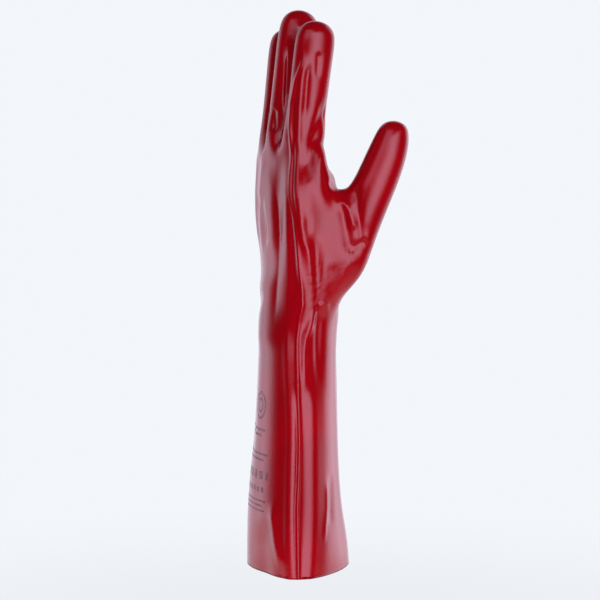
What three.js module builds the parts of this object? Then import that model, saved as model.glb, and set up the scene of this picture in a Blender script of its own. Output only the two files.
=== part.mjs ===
// A left-hand work glove with a long gauntlet cuff: a cotton lining dipped in a smooth PVC coat.
// It stands as it does on a wearer's raised hand: fingers up, open hem down.
// X runs from the little finger to the index finger, Y from the back of the hand to the palm, Z up.
// The origin is the middle of the cuff's mouth, in the plane of the hem.
import * as THREE from "three";

// Driving dimensions, in millimetres, measured over the coat. Angles are in degrees.
const CUFF_LENGTH = 165.5; // hem to wrist
const PALM_LENGTH = 98.5; // wrist to the knuckles
const INDEX_LENGTH = 77; // knuckles to fingertip
const MIDDLE_LENGTH = 82;
const RING_LENGTH = 71;
const LITTLE_LENGTH = 55;
const CUFF_MOUTH_WIDTH = 118;
const CUFF_MOUTH_DEPTH = 66;
const WRIST_WIDTH = 82;
const WRIST_DEPTH = 49;
const PALM_WIDTH = 94; // across the knuckles
const PALM_DEPTH = 56; // through the ball of the thumb and the heel
const FINGER_WIDTH = 20;
const FINGER_DEPTH = 21.6;
const KNUCKLE_ARCH = 12; // how far the middle knuckles stand back from a straight row
const HAND_TURN = 14; // the palm's turn against the cuff, index side towards the palm
const WEB_RISE = 11; // the webs between the fingers, above the knuckle row
const THUMB_REACH = 39.4; // the thumb's tip, palmward of the web
const THUMB_RISE = 43.3; // and above the web
const THUMB_WIDTH = 23;
const COAT_WALL = 1.1;
const LINING_WALL = 1;
const LINING_CLEARANCE = 0.3; // between the coat and the lining
const FOLD_HEIGHT = 2.2; // the deepest soft folds

// Places round a body ring, counted from the index side over the back of the hand.
const RING_POINTS = 30;
const SIDE_POINTS = 4; // segments on each narrow side
const FACE_POINTS = 11; // segments on the back and on the palm
const FINGER_SEGMENTS = 2; // segments across one finger's back
const FINGER_PITCH = FINGER_SEGMENTS + 1; // with the web beside it
const SECTION_SAMPLES = 360;
const PRESSING_PASSES = 4;
const EVENING_PASSES = 2;
const HEM_BAND = 0.001; // points below this height are on the hem

const toRadians = THREE.MathUtils.degToRad;
const lerp = THREE.MathUtils.lerp;
const vector = (x, y, z) => new THREE.Vector3(x, y, z);

// Cuff sections. up is a share of CUFF_LENGTH; wide and deep run from 0, the wrist's size, to 1, the
// mouth's; palmward is the centre's shift, as a share of WRIST_DEPTH; turn is a share of HAND_TURN;
// roundness is the exponent of the superellipse, 2 for an ellipse.
const CUFF_ROWS = [
  { up: 0.0, wide: 1.0, deep: 1.0, palmward: 0.0, turn: 0, roundness: 1.7 },
  { up: 0.08, wide: 0.95, deep: 0.95, palmward: -0.01, turn: 0, roundness: 1.75 },
  { up: 0.27, wide: 0.78, deep: 0.64, palmward: -0.045, turn: 0, roundness: 1.85 },
  { up: 0.5, wide: 0.55, deep: 0.3, palmward: -0.02, turn: 0, roundness: 1.95 },
  { up: 0.74, wide: 0.3, deep: 0.13, palmward: -0.01, turn: 0.1, roundness: 2.1 },
  { up: 0.9, wide: 0.1, deep: 0.0, palmward: -0.01, turn: 0.25, roundness: 2.2 },
];

// Palm sections. up is a share of PALM_LENGTH, width of PALM_WIDTH, depth and palmward of PALM_DEPTH,
// turn of HAND_TURN, arch of KNUCKLE_ARCH; web is the weight of a web's segment against a finger's.
const PALM_ROWS = [
  { up: 0.0, width: 0.89, depth: 0.89, palmward: 0.03, turn: 0.4, arch: 0.0, web: 1.0, roundness: 2.2 },
  { up: 0.18, width: 0.94, depth: 0.94, palmward: 0.06, turn: 0.5, arch: 0.0, web: 1.0, roundness: 2.3 },
  { up: 0.37, width: 0.99, depth: 0.95, palmward: 0.08, turn: 0.67, arch: 0.12, web: 0.9, roundness: 2.4 },
  { up: 0.57, width: 1.01, depth: 0.88, palmward: 0.06, turn: 0.84, arch: 0.36, web: 0.72, roundness: 2.5 },
  { up: 0.76, width: 1.0, depth: 0.71, palmward: 0.045, turn: 0.95, arch: 0.65, web: 0.53, roundness: 2.7 },
  { up: 0.89, width: 0.98, depth: 0.555, palmward: 0.03, turn: 1.0, arch: 0.85, web: 0.42, roundness: 2.9 },
  { up: 1.0, width: 0.96, depth: 0.49, palmward: 0.02, turn: 1.0, arch: 1.0, web: 0.35, roundness: 3.0 },
];

// Fingers. width and depth are shares of FINGER_WIDTH and FINGER_DEPTH; lean is the tilt towards the
// palm at the knuckle, curl what is added by the tip, splay the tilt towards the index side.
const FINGERS = [
  { name: "index", length: INDEX_LENGTH, width: 1.0, depth: 1.0, lean: 5, curl: 2, splay: 5 },
  { name: "middle", length: MIDDLE_LENGTH, width: 1.02, depth: 1.0, lean: 4.2, curl: 4.5, splay: 1.5 },
  { name: "ring", length: RING_LENGTH, width: 0.98, depth: 0.96, lean: 4.5, curl: 4, splay: -2.5 },
  { name: "little", length: LITTLE_LENGTH, width: 0.9, depth: 0.84, lean: 9, curl: 6, splay: -7 },
];

// Rings of one finger. along is a share of its length, girth of its width and thick of its depth;
// saddle is how much of the rise of the webs beside its root the ring still follows.
const FINGER_RINGS = [
  { along: 0.09, girth: 1.01, thick: 1.24, saddle: 0.75 },
  { along: 0.2, girth: 1.0, thick: 1.16, saddle: 0.35 },
  { along: 0.4, girth: 1.0, thick: 1.13, saddle: 0 },
  { along: 0.64, girth: 0.99, thick: 1.15, saddle: 0 },
  { along: 0.84, girth: 0.98, thick: 1.18, saddle: 0 },
  { along: 0.935, girth: 0.9, thick: 1.07, saddle: 0 },
  { along: 0.985, girth: 0.62, thick: 0.74, saddle: 0 },
];
const FINGERTIP_RISE = 0.03; // the middle of the cap above its last ring, as a share of the length

// Rings of the thumb, each between a point on the web side and one on the outer side, as shares of
// THUMB_REACH palmward and of THUMB_RISE up from the web; side is the middle's place towards the
// index finger as a share of PALM_WIDTH, girth a share of THUMB_WIDTH.
const THUMB_RINGS = [
  { webOut: -0.1, webUp: 0.13, outerOut: 0.27, outerUp: -1.18, side: 0.345, girth: 1.2 },
  { webOut: -0.03, webUp: 0.13, outerOut: 0.43, outerUp: -0.72, side: 0.35, girth: 1.16 },
  { webOut: 0.05, webUp: 0.16, outerOut: 0.595, outerUp: -0.31, side: 0.355, girth: 1.12 },
  { webOut: 0.155, webUp: 0.31, outerOut: 0.755, outerUp: 0.04, side: 0.36, girth: 1.08 },
  { webOut: 0.28, webUp: 0.56, outerOut: 0.89, outerUp: 0.36, side: 0.36, girth: 1.02 },
  { webOut: 0.43, webUp: 0.85, outerOut: 0.995, outerUp: 0.7, side: 0.36, girth: 0.98 },
  { webOut: 0.55, webUp: 1.06, outerOut: 1.0, outerUp: 0.99, side: 0.36, girth: 0.76 },
];
const THUMB_TIP = { out: 0.8, up: 1.11, side: 0.36 };

// The patch of the body that the thumb grows from: palm rows 0 to 4, from the index side palmward.
const THUMB_PATCH = 4;
const WEB_CLEARANCE = 5; // the web between thumb and index finger, palmward of the wrist's palm side
const WEB_OUT = WRIST_DEPTH / 2 + WEB_CLEARANCE; // and palmward of the cuff's axis
const WEB_UP = 69; // and above the wrist

// Soft folds and ridges of the coat, drawn as strokes on its index side or, side -1, on the little
// finger's side. out is palmward of the cuff's axis as a share of WRIST_DEPTH, up a share of
// CUFF_LENGTH; rise is a share of FOLD_HEIGHT, negative for a hollow; spread is in millimetres.
const FOLDS = [
  { name: "index crease", side: 1, out: 0.0, up: 0.0, toOut: 0.0, toUp: 0.95, rise: 0.5, spread: 3 },
  { name: "little crease", side: -1, out: 0.0, up: 0.0, toOut: 0.0, toUp: 0.9, rise: 0.5, spread: 3 },
  { name: "channel", side: 1, out: 0.46, up: 1.03, toOut: 0.3, toUp: 0.86, rise: -0.9, spread: 6 },
  { name: "channel", side: 1, out: 0.3, up: 0.86, toOut: 0.26, toUp: 0.0, rise: -0.7, spread: 6 },
  { name: "palm ridge", side: 1, out: 0.3, up: 1.08, toOut: 0.13, toUp: 0.8, rise: 0.5, spread: 5 },
  { name: "back hollow", side: 1, out: -0.24, up: 1.17, toOut: -0.26, toUp: 1.02, rise: -0.8, spread: 7 },
  { name: "back channel", side: 1, out: -0.26, up: 0.84, toOut: -0.22, toUp: 0.06, rise: -0.6, spread: 7 },
  { name: "first tendon", side: 1, out: -0.3, up: 1.48, toOut: -0.33, toUp: 1.26, rise: -0.7, spread: 4 },
  { name: "thumb hollow", side: 1, out: 0.62, up: 1.2, toOut: 0.88, toUp: 1.32, rise: -0.8, spread: 7 },
  { name: "web fold", side: 1, out: 0.55, up: 1.43, toOut: 0.76, toUp: 1.32, rise: 0.5, spread: 4 },
];

/** A mesh of four-sided faces, wound anticlockwise as seen from outside. */
class Cage {
  constructor() {
    this.points = [];
    this.faces = [];
  }

  add(point) {
    this.points.push(point);
    return this.points.length - 1;
  }

  /** Joins two loops that run clockwise as seen from the end of the tube. */
  bridge(lower, upper) {
    lower.forEach((start, n) => {
      const next = (n + 1) % lower.length;
      this.faces.push([start, upper[n], upper[next], lower[next]]);
    });
  }
}

/** The points of one body section, spaced round it by the weights of its segments. */
function sectionPoints(section) {
  const { z, centre, width, depth, turn, arch, web, roundness } = section;
  const outline = [];
  for (let n = 0; n <= SECTION_SAMPLES; n++) {
    const angle = (-2 * Math.PI * n) / SECTION_SAMPLES;
    const power = 2 / roundness;
    const across = Math.sign(Math.cos(angle)) * Math.abs(Math.cos(angle)) ** power;
    const through = Math.sign(Math.sin(angle)) * Math.abs(Math.sin(angle)) ** power;
    outline.push([(across * width) / 2, (through * depth) / 2 - arch * (1 - across * across)]);
  }
  const run = [0];
  for (let n = 1; n < outline.length; n++) {
    run.push(run[n - 1] + Math.hypot(outline[n][0] - outline[n - 1][0], outline[n][1] - outline[n - 1][1]));
  }
  const weights = Array.from({ length: RING_POINTS }, (_, m) => (isWebSegment(m) ? web : 1));
  const total = weights.reduce((sum, weight) => sum + weight, 0);
  const cosine = Math.cos(toRadians(turn));
  const sine = Math.sin(toRadians(turn));
  let reached = 0;
  return weights.map((weight) => {
    const target = (reached / total) * run[run.length - 1];
    reached += weight;
    let n = run.findIndex((length) => length >= target);
    n = Math.max(n, 1);
    const share = (target - run[n - 1]) / (run[n] - run[n - 1]);
    const u = lerp(outline[n - 1][0], outline[n][0], share);
    const v = lerp(outline[n - 1][1], outline[n][1], share);
    return vector(u * cosine - v * sine, centre + u * sine + v * cosine, z);
  });
}

/** Whether the segment that starts at place m of a ring lies between two fingers. */
function isWebSegment(m) {
  const onBack = m - SIDE_POINTS / 2;
  const onPalm = m - SIDE_POINTS * 1.5 - FACE_POINTS;
  return [onBack, onPalm].some((n) => n >= 0 && n < FACE_POINTS && n % FINGER_PITCH === FINGER_SEGMENTS);
}

/** The sections of the cuff and the palm, from the hem up. */
function bodySections() {
  const cuff = CUFF_ROWS.map((row) => ({
    z: row.up * CUFF_LENGTH,
    centre: row.palmward * WRIST_DEPTH,
    width: lerp(WRIST_WIDTH, CUFF_MOUTH_WIDTH, row.wide),
    depth: lerp(WRIST_DEPTH, CUFF_MOUTH_DEPTH, row.deep),
    turn: row.turn * HAND_TURN,
    arch: 0,
    web: 1,
    roundness: row.roundness,
  }));
  const palm = PALM_ROWS.map((row) => ({
    z: CUFF_LENGTH + row.up * PALM_LENGTH,
    centre: row.palmward * PALM_DEPTH,
    width: row.width * PALM_WIDTH,
    depth: row.depth * PALM_DEPTH,
    turn: row.turn * HAND_TURN,
    arch: row.arch * KNUCKLE_ARCH,
    web: row.web,
    roundness: row.roundness,
  }));
  return [...cuff, ...palm];
}

/** The place on a body ring of a point of the knuckle grid: column across, row from back to palm. */
function ringPlace(column, row) {
  if (column === 0) return (RING_POINTS + SIDE_POINTS / 2 - row) % RING_POINTS;
  if (row === 0) return SIDE_POINTS / 2 + column;
  if (row === SIDE_POINTS) return RING_POINTS - SIDE_POINTS / 2 - column;
  return SIDE_POINTS / 2 + FACE_POINTS + row;
}

/** The edge of a grid as columns and rows, clockwise, from the middle of its first column. */
function gridEdge(columns, rows) {
  const edge = [];
  for (let row = rows; row > 0; row--) edge.push([0, row]);
  for (let column = 0; column < columns; column++) edge.push([column, 0]);
  for (let row = 0; row < rows; row++) edge.push([columns, row]);
  for (let column = columns; column > 0; column--) edge.push([column, rows]);
  const half = rows / 2;
  return [...edge.slice(half), ...edge.slice(0, half)];
}

/** Closes a loop with a grid of faces whose inner points bulge to a tip. */
function closeTip(cage, loop, columns, rows, tip) {
  const edge = gridEdge(columns, rows);
  const grid = new Map(edge.map(([column, row], n) => [`${column},${row}`, loop[n]]));
  const middle = new THREE.Vector3();
  loop.forEach((n) => middle.addScaledVector(cage.points[n], 1 / loop.length));
  for (let column = 1; column < columns; column++) {
    for (let row = 1; row < rows; row++) {
      const left = cage.points[grid.get(`0,${row}`)];
      const right = cage.points[grid.get(`${columns},${row}`)];
      const back = cage.points[grid.get(`${column},0`)];
      const front = cage.points[grid.get(`${column},${rows}`)];
      const point = left.clone().lerp(right, column / columns);
      point.add(back.clone().lerp(front, row / rows)).multiplyScalar(0.5);
      const off = Math.max(Math.abs((2 * column) / columns - 1), Math.abs((2 * row) / rows - 1));
      point.add(tip.clone().sub(middle).multiplyScalar(1 - off * off));
      grid.set(`${column},${row}`, cage.add(point));
    }
  }
  for (let column = 0; column < columns; column++) {
    for (let row = 0; row < rows; row++) {
      const at = (c, r) => grid.get(`${c},${r}`);
      cage.faces.push([
        at(column, row),
        at(column, row + 1),
        at(column + 1, row + 1),
        at(column + 1, row),
      ]);
    }
  }
}

/** One finger, grown from its loop on the knuckle grid. */
function addFinger(cage, finger, loop) {
  const root = new THREE.Vector3();
  loop.forEach((n) => root.addScaledVector(cage.points[n], 1 / loop.length));
  const across = vector(Math.cos(toRadians(HAND_TURN)), Math.sin(toRadians(HAND_TURN)), 0);
  const palmward = vector(-across.y, across.x, 0);
  const direction = (along) => {
    const bend = toRadians(finger.lean + finger.curl * along);
    return vector(0, 0, Math.cos(bend))
      .addScaledVector(palmward, Math.sin(bend))
      .addScaledVector(across, Math.sin(toRadians(finger.splay)))
      .normalize();
  };
  const swell = 8 / (6 + 2 * Math.cos((2 * Math.PI) / loop.length));
  const centre = root.clone();
  let reached = 0;
  let last = loop;
  for (const ring of FINGER_RINGS) {
    const step = (ring.along - reached) * finger.length;
    const axis = direction((reached + ring.along) / 2);
    centre.addScaledVector(axis, step);
    reached = ring.along;
    const here = direction(ring.along);
    const side = across.clone().addScaledVector(here, -across.dot(here)).normalize();
    const front = here.clone().cross(side);
    const reachAcross = (finger.width * FINGER_WIDTH * ring.girth * swell) / 2;
    const reachThrough = (finger.depth * FINGER_DEPTH * ring.thick * swell) / 2;
    const next = loop.map((start, n) => {
      const angle = (2 * Math.PI * n) / loop.length;
      const rise = (cage.points[start].z - root.z) * ring.saddle;
      return cage.add(
        centre
          .clone()
          .addScaledVector(side, reachAcross * Math.cos(angle))
          .addScaledVector(front, -reachThrough * Math.sin(angle))
          .addScaledVector(here, rise),
      );
    });
    cage.bridge(last, next);
    last = next;
  }
  const tip = centre.clone().addScaledVector(direction(1), (1 - reached + FINGERTIP_RISE) * finger.length);
  closeTip(cage, last, FINGER_SEGMENTS, SIDE_POINTS, tip);
}

/** The thumb, grown from its patch on the body. */
function addThumb(cage, loop) {
  const swell = 8 / (6 + 2 * Math.cos((2 * Math.PI) / loop.length));
  const place = (out, up, side) =>
    vector(side * PALM_WIDTH, WEB_OUT + out * THUMB_REACH, CUFF_LENGTH + WEB_UP + up * THUMB_RISE);
  let last = loop;
  for (const ring of THUMB_RINGS) {
    const web = place(ring.webOut, ring.webUp, ring.side);
    const outer = place(ring.outerOut, ring.outerUp, ring.side);
    const centre = web.clone().add(outer).multiplyScalar(0.5);
    const towardsWeb = web.clone().sub(centre).multiplyScalar(swell);
    const towardsIndex = vector((ring.girth * THUMB_WIDTH * swell) / 2, 0, 0);
    const next = loop.map((_, n) => {
      const angle = (2 * Math.PI * n) / loop.length;
      return cage.add(
        centre
          .clone()
          .addScaledVector(towardsIndex, Math.cos(angle))
          .addScaledVector(towardsWeb, Math.sin(angle)),
      );
    });
    cage.bridge(last, next);
    last = next;
  }
  closeTip(cage, last, THUMB_PATCH, THUMB_PATCH, place(THUMB_TIP.out, THUMB_TIP.up, THUMB_TIP.side));
}

/** The coarse cage of the whole glove, open at the hem. Its first loop of points is the hem. */
function gloveCage() {
  const cage = new Cage();
  const firstPalm = CUFF_ROWS.length;
  const inPatch = (row, m) =>
    row >= firstPalm && row < firstPalm + THUMB_PATCH && m >= RING_POINTS - THUMB_PATCH;
  const rings = bodySections().map((section, row) =>
    sectionPoints(section).map((point, m) => {
      const amidPatch = inPatch(row, m) && inPatch(row - 1, m - 1);
      return amidPatch ? null : cage.add(point);
    }),
  );
  for (let row = 0; row + 1 < rings.length; row++) {
    for (let m = 0; m < RING_POINTS; m++) {
      const next = (m + 1) % RING_POINTS;
      if (inPatch(row, m)) continue;
      cage.faces.push([rings[row][m], rings[row + 1][m], rings[row + 1][next], rings[row][next]]);
    }
  }
  const patchLoop = gridEdge(THUMB_PATCH, THUMB_PATCH).map(
    ([column, row]) =>
      rings[firstPalm + THUMB_PATCH - row][(RING_POINTS - column) % RING_POINTS],
  );
  addThumb(cage, patchLoop);

  const top = rings[rings.length - 1];
  const grid = new Map();
  for (let column = 0; column <= FACE_POINTS; column++) {
    for (const row of [0, SIDE_POINTS]) grid.set(`${column},${row}`, top[ringPlace(column, row)]);
  }
  for (let row = 1; row < SIDE_POINTS; row++) {
    for (const column of [0, FACE_POINTS]) grid.set(`${column},${row}`, top[ringPlace(column, row)]);
    for (let web = FINGER_SEGMENTS; web < FACE_POINTS; web += FINGER_PITCH) {
      for (const column of [web, web + 1]) {
        const back = cage.points[grid.get(`${column},0`)];
        const front = cage.points[grid.get(`${column},${SIDE_POINTS}`)];
        const share = row / SIDE_POINTS;
        const point = back.clone().lerp(front, share);
        point.z += WEB_RISE * Math.sin(Math.PI * share);
        grid.set(`${column},${row}`, cage.add(point));
      }
    }
  }
  const at = (column, row) => grid.get(`${column},${row}`);
  for (let web = FINGER_SEGMENTS; web < FACE_POINTS; web += FINGER_PITCH) {
    for (let row = 0; row < SIDE_POINTS; row++) {
      cage.faces.push([at(web, row), at(web, row + 1), at(web + 1, row + 1), at(web + 1, row)]);
    }
  }
  FINGERS.forEach((finger, n) => {
    const first = n * FINGER_PITCH;
    const loop = gridEdge(FINGER_SEGMENTS, SIDE_POINTS).map(([column, row]) => at(first + column, row));
    addFinger(cage, finger, loop);
  });
  return cage;
}

/** One Catmull-Clark step. The old points keep their numbers; edges on the hem stay on it. */
function subdivide(cage) {
  const fine = new Cage();
  const edges = new Map();
  const key = (a, b) => (a < b ? `${a},${b}` : `${b},${a}`);
  const faceMiddles = cage.faces.map((face) => {
    const middle = new THREE.Vector3();
    face.forEach((n) => middle.addScaledVector(cage.points[n], 1 / face.length));
    return middle;
  });
  cage.faces.forEach((face, f) =>
    face.forEach((a, n) => {
      const b = face[(n + 1) % face.length];
      const edge = edges.get(key(a, b)) ?? { ends: [a, b], faces: [] };
      edge.faces.push(f);
      edges.set(key(a, b), edge);
    }),
  );
  const around = cage.points.map(() => ({ faces: [], edges: [], hem: [] }));
  cage.faces.forEach((face, f) => face.forEach((n) => around[n].faces.push(f)));
  for (const edge of edges.values()) {
    edge.middle = cage.points[edge.ends[0]].clone().lerp(cage.points[edge.ends[1]], 0.5);
    edge.ends.forEach((n) => {
      around[n].edges.push(edge);
      if (edge.faces.length === 1) around[n].hem.push(edge);
    });
  }
  cage.points.forEach((point, n) => {
    const { faces, edges: near, hem } = around[n];
    const moved = new THREE.Vector3();
    if (hem.length) {
      hem.forEach((edge) => moved.addScaledVector(edge.middle, 0.5 / hem.length));
      fine.add(moved.addScaledVector(point, 0.5));
      return;
    }
    const count = faces.length;
    faces.forEach((f) => moved.addScaledVector(faceMiddles[f], 1 / (count * count)));
    near.forEach((edge) => moved.addScaledVector(edge.middle, 2 / (count * count)));
    fine.add(moved.addScaledVector(point, (count - 3) / count));
  });
  const facePoints = faceMiddles.map((middle) => fine.add(middle));
  for (const edge of edges.values()) {
    const point = edge.middle.clone();
    if (edge.faces.length === 2) {
      edge.faces.forEach((f) => point.add(faceMiddles[f]));
      point.addScaledVector(edge.middle, 1).multiplyScalar(1 / 4);
    }
    edge.point = fine.add(point);
  }
  cage.faces.forEach((face, f) =>
    face.forEach((corner, n) => {
      const after = edges.get(key(corner, face[(n + 1) % face.length]));
      const before = edges.get(key(face[(n + face.length - 1) % face.length], corner));
      fine.faces.push([corner, after.point, facePoints[f], before.point]);
    }),
  );
  return fine;
}

/** The outward normal at each point of a cage. */
function pointNormals(cage) {
  const normals = cage.points.map(() => new THREE.Vector3());
  for (const [a, b, c, d] of cage.faces) {
    const diagonal = cage.points[c].clone().sub(cage.points[a]);
    const other = cage.points[d].clone().sub(cage.points[b]);
    const normal = diagonal.cross(other);
    [a, b, c, d].forEach((n) => normals[n].add(normal));
  }
  return normals.map((normal) => normal.normalize());
}

/** How far the folds raise the surface at a point that faces a given way. */
function foldHeight(point, normal) {
  const strongest = new Map();
  for (const fold of FOLDS) {
    const facing = Math.max(normal.x * fold.side, 0);
    const start = new THREE.Vector2(fold.out * WRIST_DEPTH, fold.up * CUFF_LENGTH);
    const stroke = new THREE.Vector2(fold.toOut * WRIST_DEPTH, fold.toUp * CUFF_LENGTH).sub(start);
    const reach = new THREE.Vector2(point.y, point.z).sub(start);
    const along = THREE.MathUtils.clamp(reach.dot(stroke) / stroke.lengthSq(), 0, 1);
    const away = reach.addScaledVector(stroke, -along).length() / fold.spread;
    const height = fold.rise * FOLD_HEIGHT * facing * Math.exp(-away * away);
    if (Math.abs(height) > Math.abs(strongest.get(fold.name) ?? 0)) strongest.set(fold.name, height);
  }
  return [...strongest.values()].reduce((sum, height) => sum + height, 0);
}

/** The points of a surface moved inwards by each one's depth, with the hem kept in its plane. */
function offsetPoints(points, normals, depths) {
  return points.map((point, n) => {
    const moved = point.clone().addScaledVector(normals[n], -depths[n]);
    if (point.z < HEM_BAND) moved.z = point.z;
    return moved;
  });
}

/** Directions into the glove at the points of the coarse cage, evened out between neighbours. */
function evenNormals(coarse, normals) {
  let even = normals.slice(0, coarse.points.length);
  for (let pass = 0; pass < EVENING_PASSES; pass++) {
    const sums = even.map((normal) => normal.clone());
    coarse.faces.forEach((face) =>
      face.forEach((start, n) => sums[start].addScaledVector(even[face[(n + 1) % 4]], 0.5)),
    );
    even = sums.map((sum) => sum.normalize());
  }
  return even;
}

/** The inside of the coat on the coarse cage, pressed in until the wall is full between its points. */
function insidePoints(coarse, fine, fineNormals, inward, wall) {
  const points = fine.points.slice(0, coarse.points.length);
  const depths = points.map(() => wall);
  let inside = offsetPoints(points, inward, depths);
  for (let pass = 0; pass < PRESSING_PASSES; pass++) {
    const missing = depths.map(() => 0);
    coarse.faces.forEach((face, f) => {
      const probes = face.map((start, n) => [fine.faces[4 * f + n][1], start, face[(n + 1) % 4]]);
      probes.push([fine.faces[4 * f][2], face[0], face[2]]);
      for (const [at, start, end] of probes) {
        const chord = inside[start].clone().lerp(inside[end], 0.5);
        const short = wall - fine.points[at].clone().sub(chord).dot(fineNormals[at]);
        missing[start] = Math.max(missing[start], short);
        missing[end] = Math.max(missing[end], short);
      }
    });
    missing.forEach((short, n) => (depths[n] += short));
    inside = offsetPoints(points, inward, depths);
  }
  return inside;
}

/** The open loop of a cage, in order, starting at its first point. */
function hemLoop(cage) {
  const next = new Map();
  const steps = cage.faces.flatMap((face) => face.map((a, n) => [a, face[(n + 1) % face.length]]));
  const taken = new Set(steps.map(([a, b]) => `${a},${b}`));
  steps.forEach(([a, b]) => {
    if (!taken.has(`${b},${a}`)) next.set(a, b);
  });
  const loop = [0];
  while (next.get(loop[loop.length - 1]) !== 0) loop.push(next.get(loop[loop.length - 1]));
  return loop;
}

/** A closed wall between two surfaces. Every corner of the inner hem matches one of the outer hem's. */
function wallGeometry(outer, outerPoints, inner, innerPoints) {
  const positions = [...outerPoints, ...innerPoints].flatMap((point) => point.toArray());
  const shift = outerPoints.length;
  const triangles = [];
  outer.faces.forEach(([a, b, c, d]) => triangles.push(a, b, c, a, c, d));
  inner.faces.forEach(([a, b, c, d]) =>
    triangles.push(a + shift, c + shift, b + shift, a + shift, d + shift, c + shift),
  );
  const outerHem = hemLoop(outer);
  const innerHem = hemLoop(inner).map((n) => n + shift);
  const ratio = outerHem.length / innerHem.length;
  innerHem.forEach((start, n) => {
    const end = innerHem[(n + 1) % innerHem.length];
    for (let step = 0; step < ratio; step++) {
      const from = outerHem[n * ratio + step];
      const to = outerHem[(n * ratio + step + 1) % outerHem.length];
      triangles.push(start, to, from);
    }
    triangles.push(start, end, outerHem[((n + 1) * ratio) % outerHem.length]);
  });
  const geometry = new THREE.BufferGeometry();
  geometry.setAttribute("position", new THREE.Float32BufferAttribute(positions, 3));
  geometry.setIndex(triangles);
  return geometry;
}

const cage = gloveCage();
const surface = subdivide(cage);
const smoothNormals = pointNormals(surface);
const foldDepths = surface.points.map((point, n) => -foldHeight(point, smoothNormals[n]));
surface.points = offsetPoints(surface.points, smoothNormals, foldDepths);
const surfaceNormals = pointNormals(surface);
const inward = evenNormals(cage, surfaceNormals);
const coatInside = insidePoints(cage, surface, surfaceNormals, inward, COAT_WALL);
const level = (depth) => offsetPoints(coatInside, inward, coatInside.map(() => depth));

/** The PVC coat: the smooth red outside of the glove. */
function pvcCoat() {
  const material = new THREE.MeshStandardMaterial({ color: 0xa1000f, roughness: 0.22, metalness: 0 });
  const mesh = new THREE.Mesh(wallGeometry(surface, surface.points, cage, coatInside), material);
  mesh.name = "pvc_coat";
  return mesh;
}

/** The cotton lining that the coat was dipped on; its edge shows at the hem. */
function cottonLining() {
  const material = new THREE.MeshStandardMaterial({ color: 0xe6c9c4, roughness: 0.95, metalness: 0 });
  const geometry = wallGeometry(cage, level(LINING_CLEARANCE), cage, level(LINING_CLEARANCE + LINING_WALL));
  const mesh = new THREE.Mesh(geometry, material);
  mesh.name = "cotton_lining";
  return mesh;
}

const glove = new THREE.Group();
glove.add(pvcCoat(), cottonLining());

export default glove;
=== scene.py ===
"""Looks of a PVC coated gauntlet glove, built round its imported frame.

The glove is a left one with its fingers up: X runs from the little finger to the index finger, Y from the
back of the hand to the palm and Z up, with the origin in the middle of the cuff's mouth. Lengths are in
millimetres, and meshes are written in metres. Folds that the photograph shows are placed in its pixels.
"""

import logging
import math
from dataclasses import dataclass, field
from enum import Enum
from typing import NamedTuple, Optional, Union

import bpy
import numpy as np
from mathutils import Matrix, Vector


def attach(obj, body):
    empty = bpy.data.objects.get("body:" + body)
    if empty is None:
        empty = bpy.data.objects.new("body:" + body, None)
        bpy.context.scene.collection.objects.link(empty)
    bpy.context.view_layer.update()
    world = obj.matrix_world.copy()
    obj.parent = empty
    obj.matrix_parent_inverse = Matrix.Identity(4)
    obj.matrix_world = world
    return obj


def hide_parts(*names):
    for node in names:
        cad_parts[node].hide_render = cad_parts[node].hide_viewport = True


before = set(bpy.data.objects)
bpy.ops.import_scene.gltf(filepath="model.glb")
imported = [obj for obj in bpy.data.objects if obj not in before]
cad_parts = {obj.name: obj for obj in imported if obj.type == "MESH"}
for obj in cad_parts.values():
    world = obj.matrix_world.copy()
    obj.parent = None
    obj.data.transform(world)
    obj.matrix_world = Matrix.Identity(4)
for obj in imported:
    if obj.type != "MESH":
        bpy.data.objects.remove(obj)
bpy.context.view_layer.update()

log = logging.getLogger("glove")

MM = 0.001
PICTURE_SIDE = 600


class Part(Enum):
    """The part of the glove that a point belongs to; the value is its column beside X, Y and Z."""

    HAND = 3
    INDEX = 4
    MIDDLE = 5
    RING = 6
    LITTLE = 7
    THUMB = 8


COLUMNS = 3 + len(Part)
# Points below this height, in millimetres, lie on the hem.
HEM_BAND = 0.01


class CuffRow(NamedTuple):
    """One section of the cuff.

    up is a share of the cuff's length; wide and deep run from 0, the wrist's size, to 1, the mouth's;
    palmward is a share of the wrist's depth; turn is a share of the hand's turn; roundness is the
    exponent of the superellipse; pinch is the weight of the segments beside the two side creases.
    """

    up: float
    wide: float
    deep: float
    palmward: float
    turn: float
    roundness: float
    pinch: float


class PalmRow(NamedTuple):
    """One section of the palm, as shares of the palm's length, width and depth.

    arch is a share of the knuckles' arch; web is the weight of a web's segment against a finger's.
    """

    up: float
    width: float
    depth: float
    palmward: float
    turn: float
    arch: float
    web: float
    roundness: float
    pinch: float


class FingerSize(NamedTuple):
    """A finger: its length, shares of the common width and depth, and its tilts in degrees."""

    part: Part
    length: float
    width: float
    depth: float
    lean: float
    curl: float
    splay: float


class FingerRing(NamedTuple):
    """One ring of a finger, as shares of its length, width and depth, and of its webs' rise."""

    along: float
    girth: float
    thick: float
    saddle: float


class ThumbRing(NamedTuple):
    """One ring of the thumb, from a point on the web side to one on the outer side, as shares."""

    web_out: float
    web_up: float
    outer_out: float
    outer_up: float
    side: float
    girth: float


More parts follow.
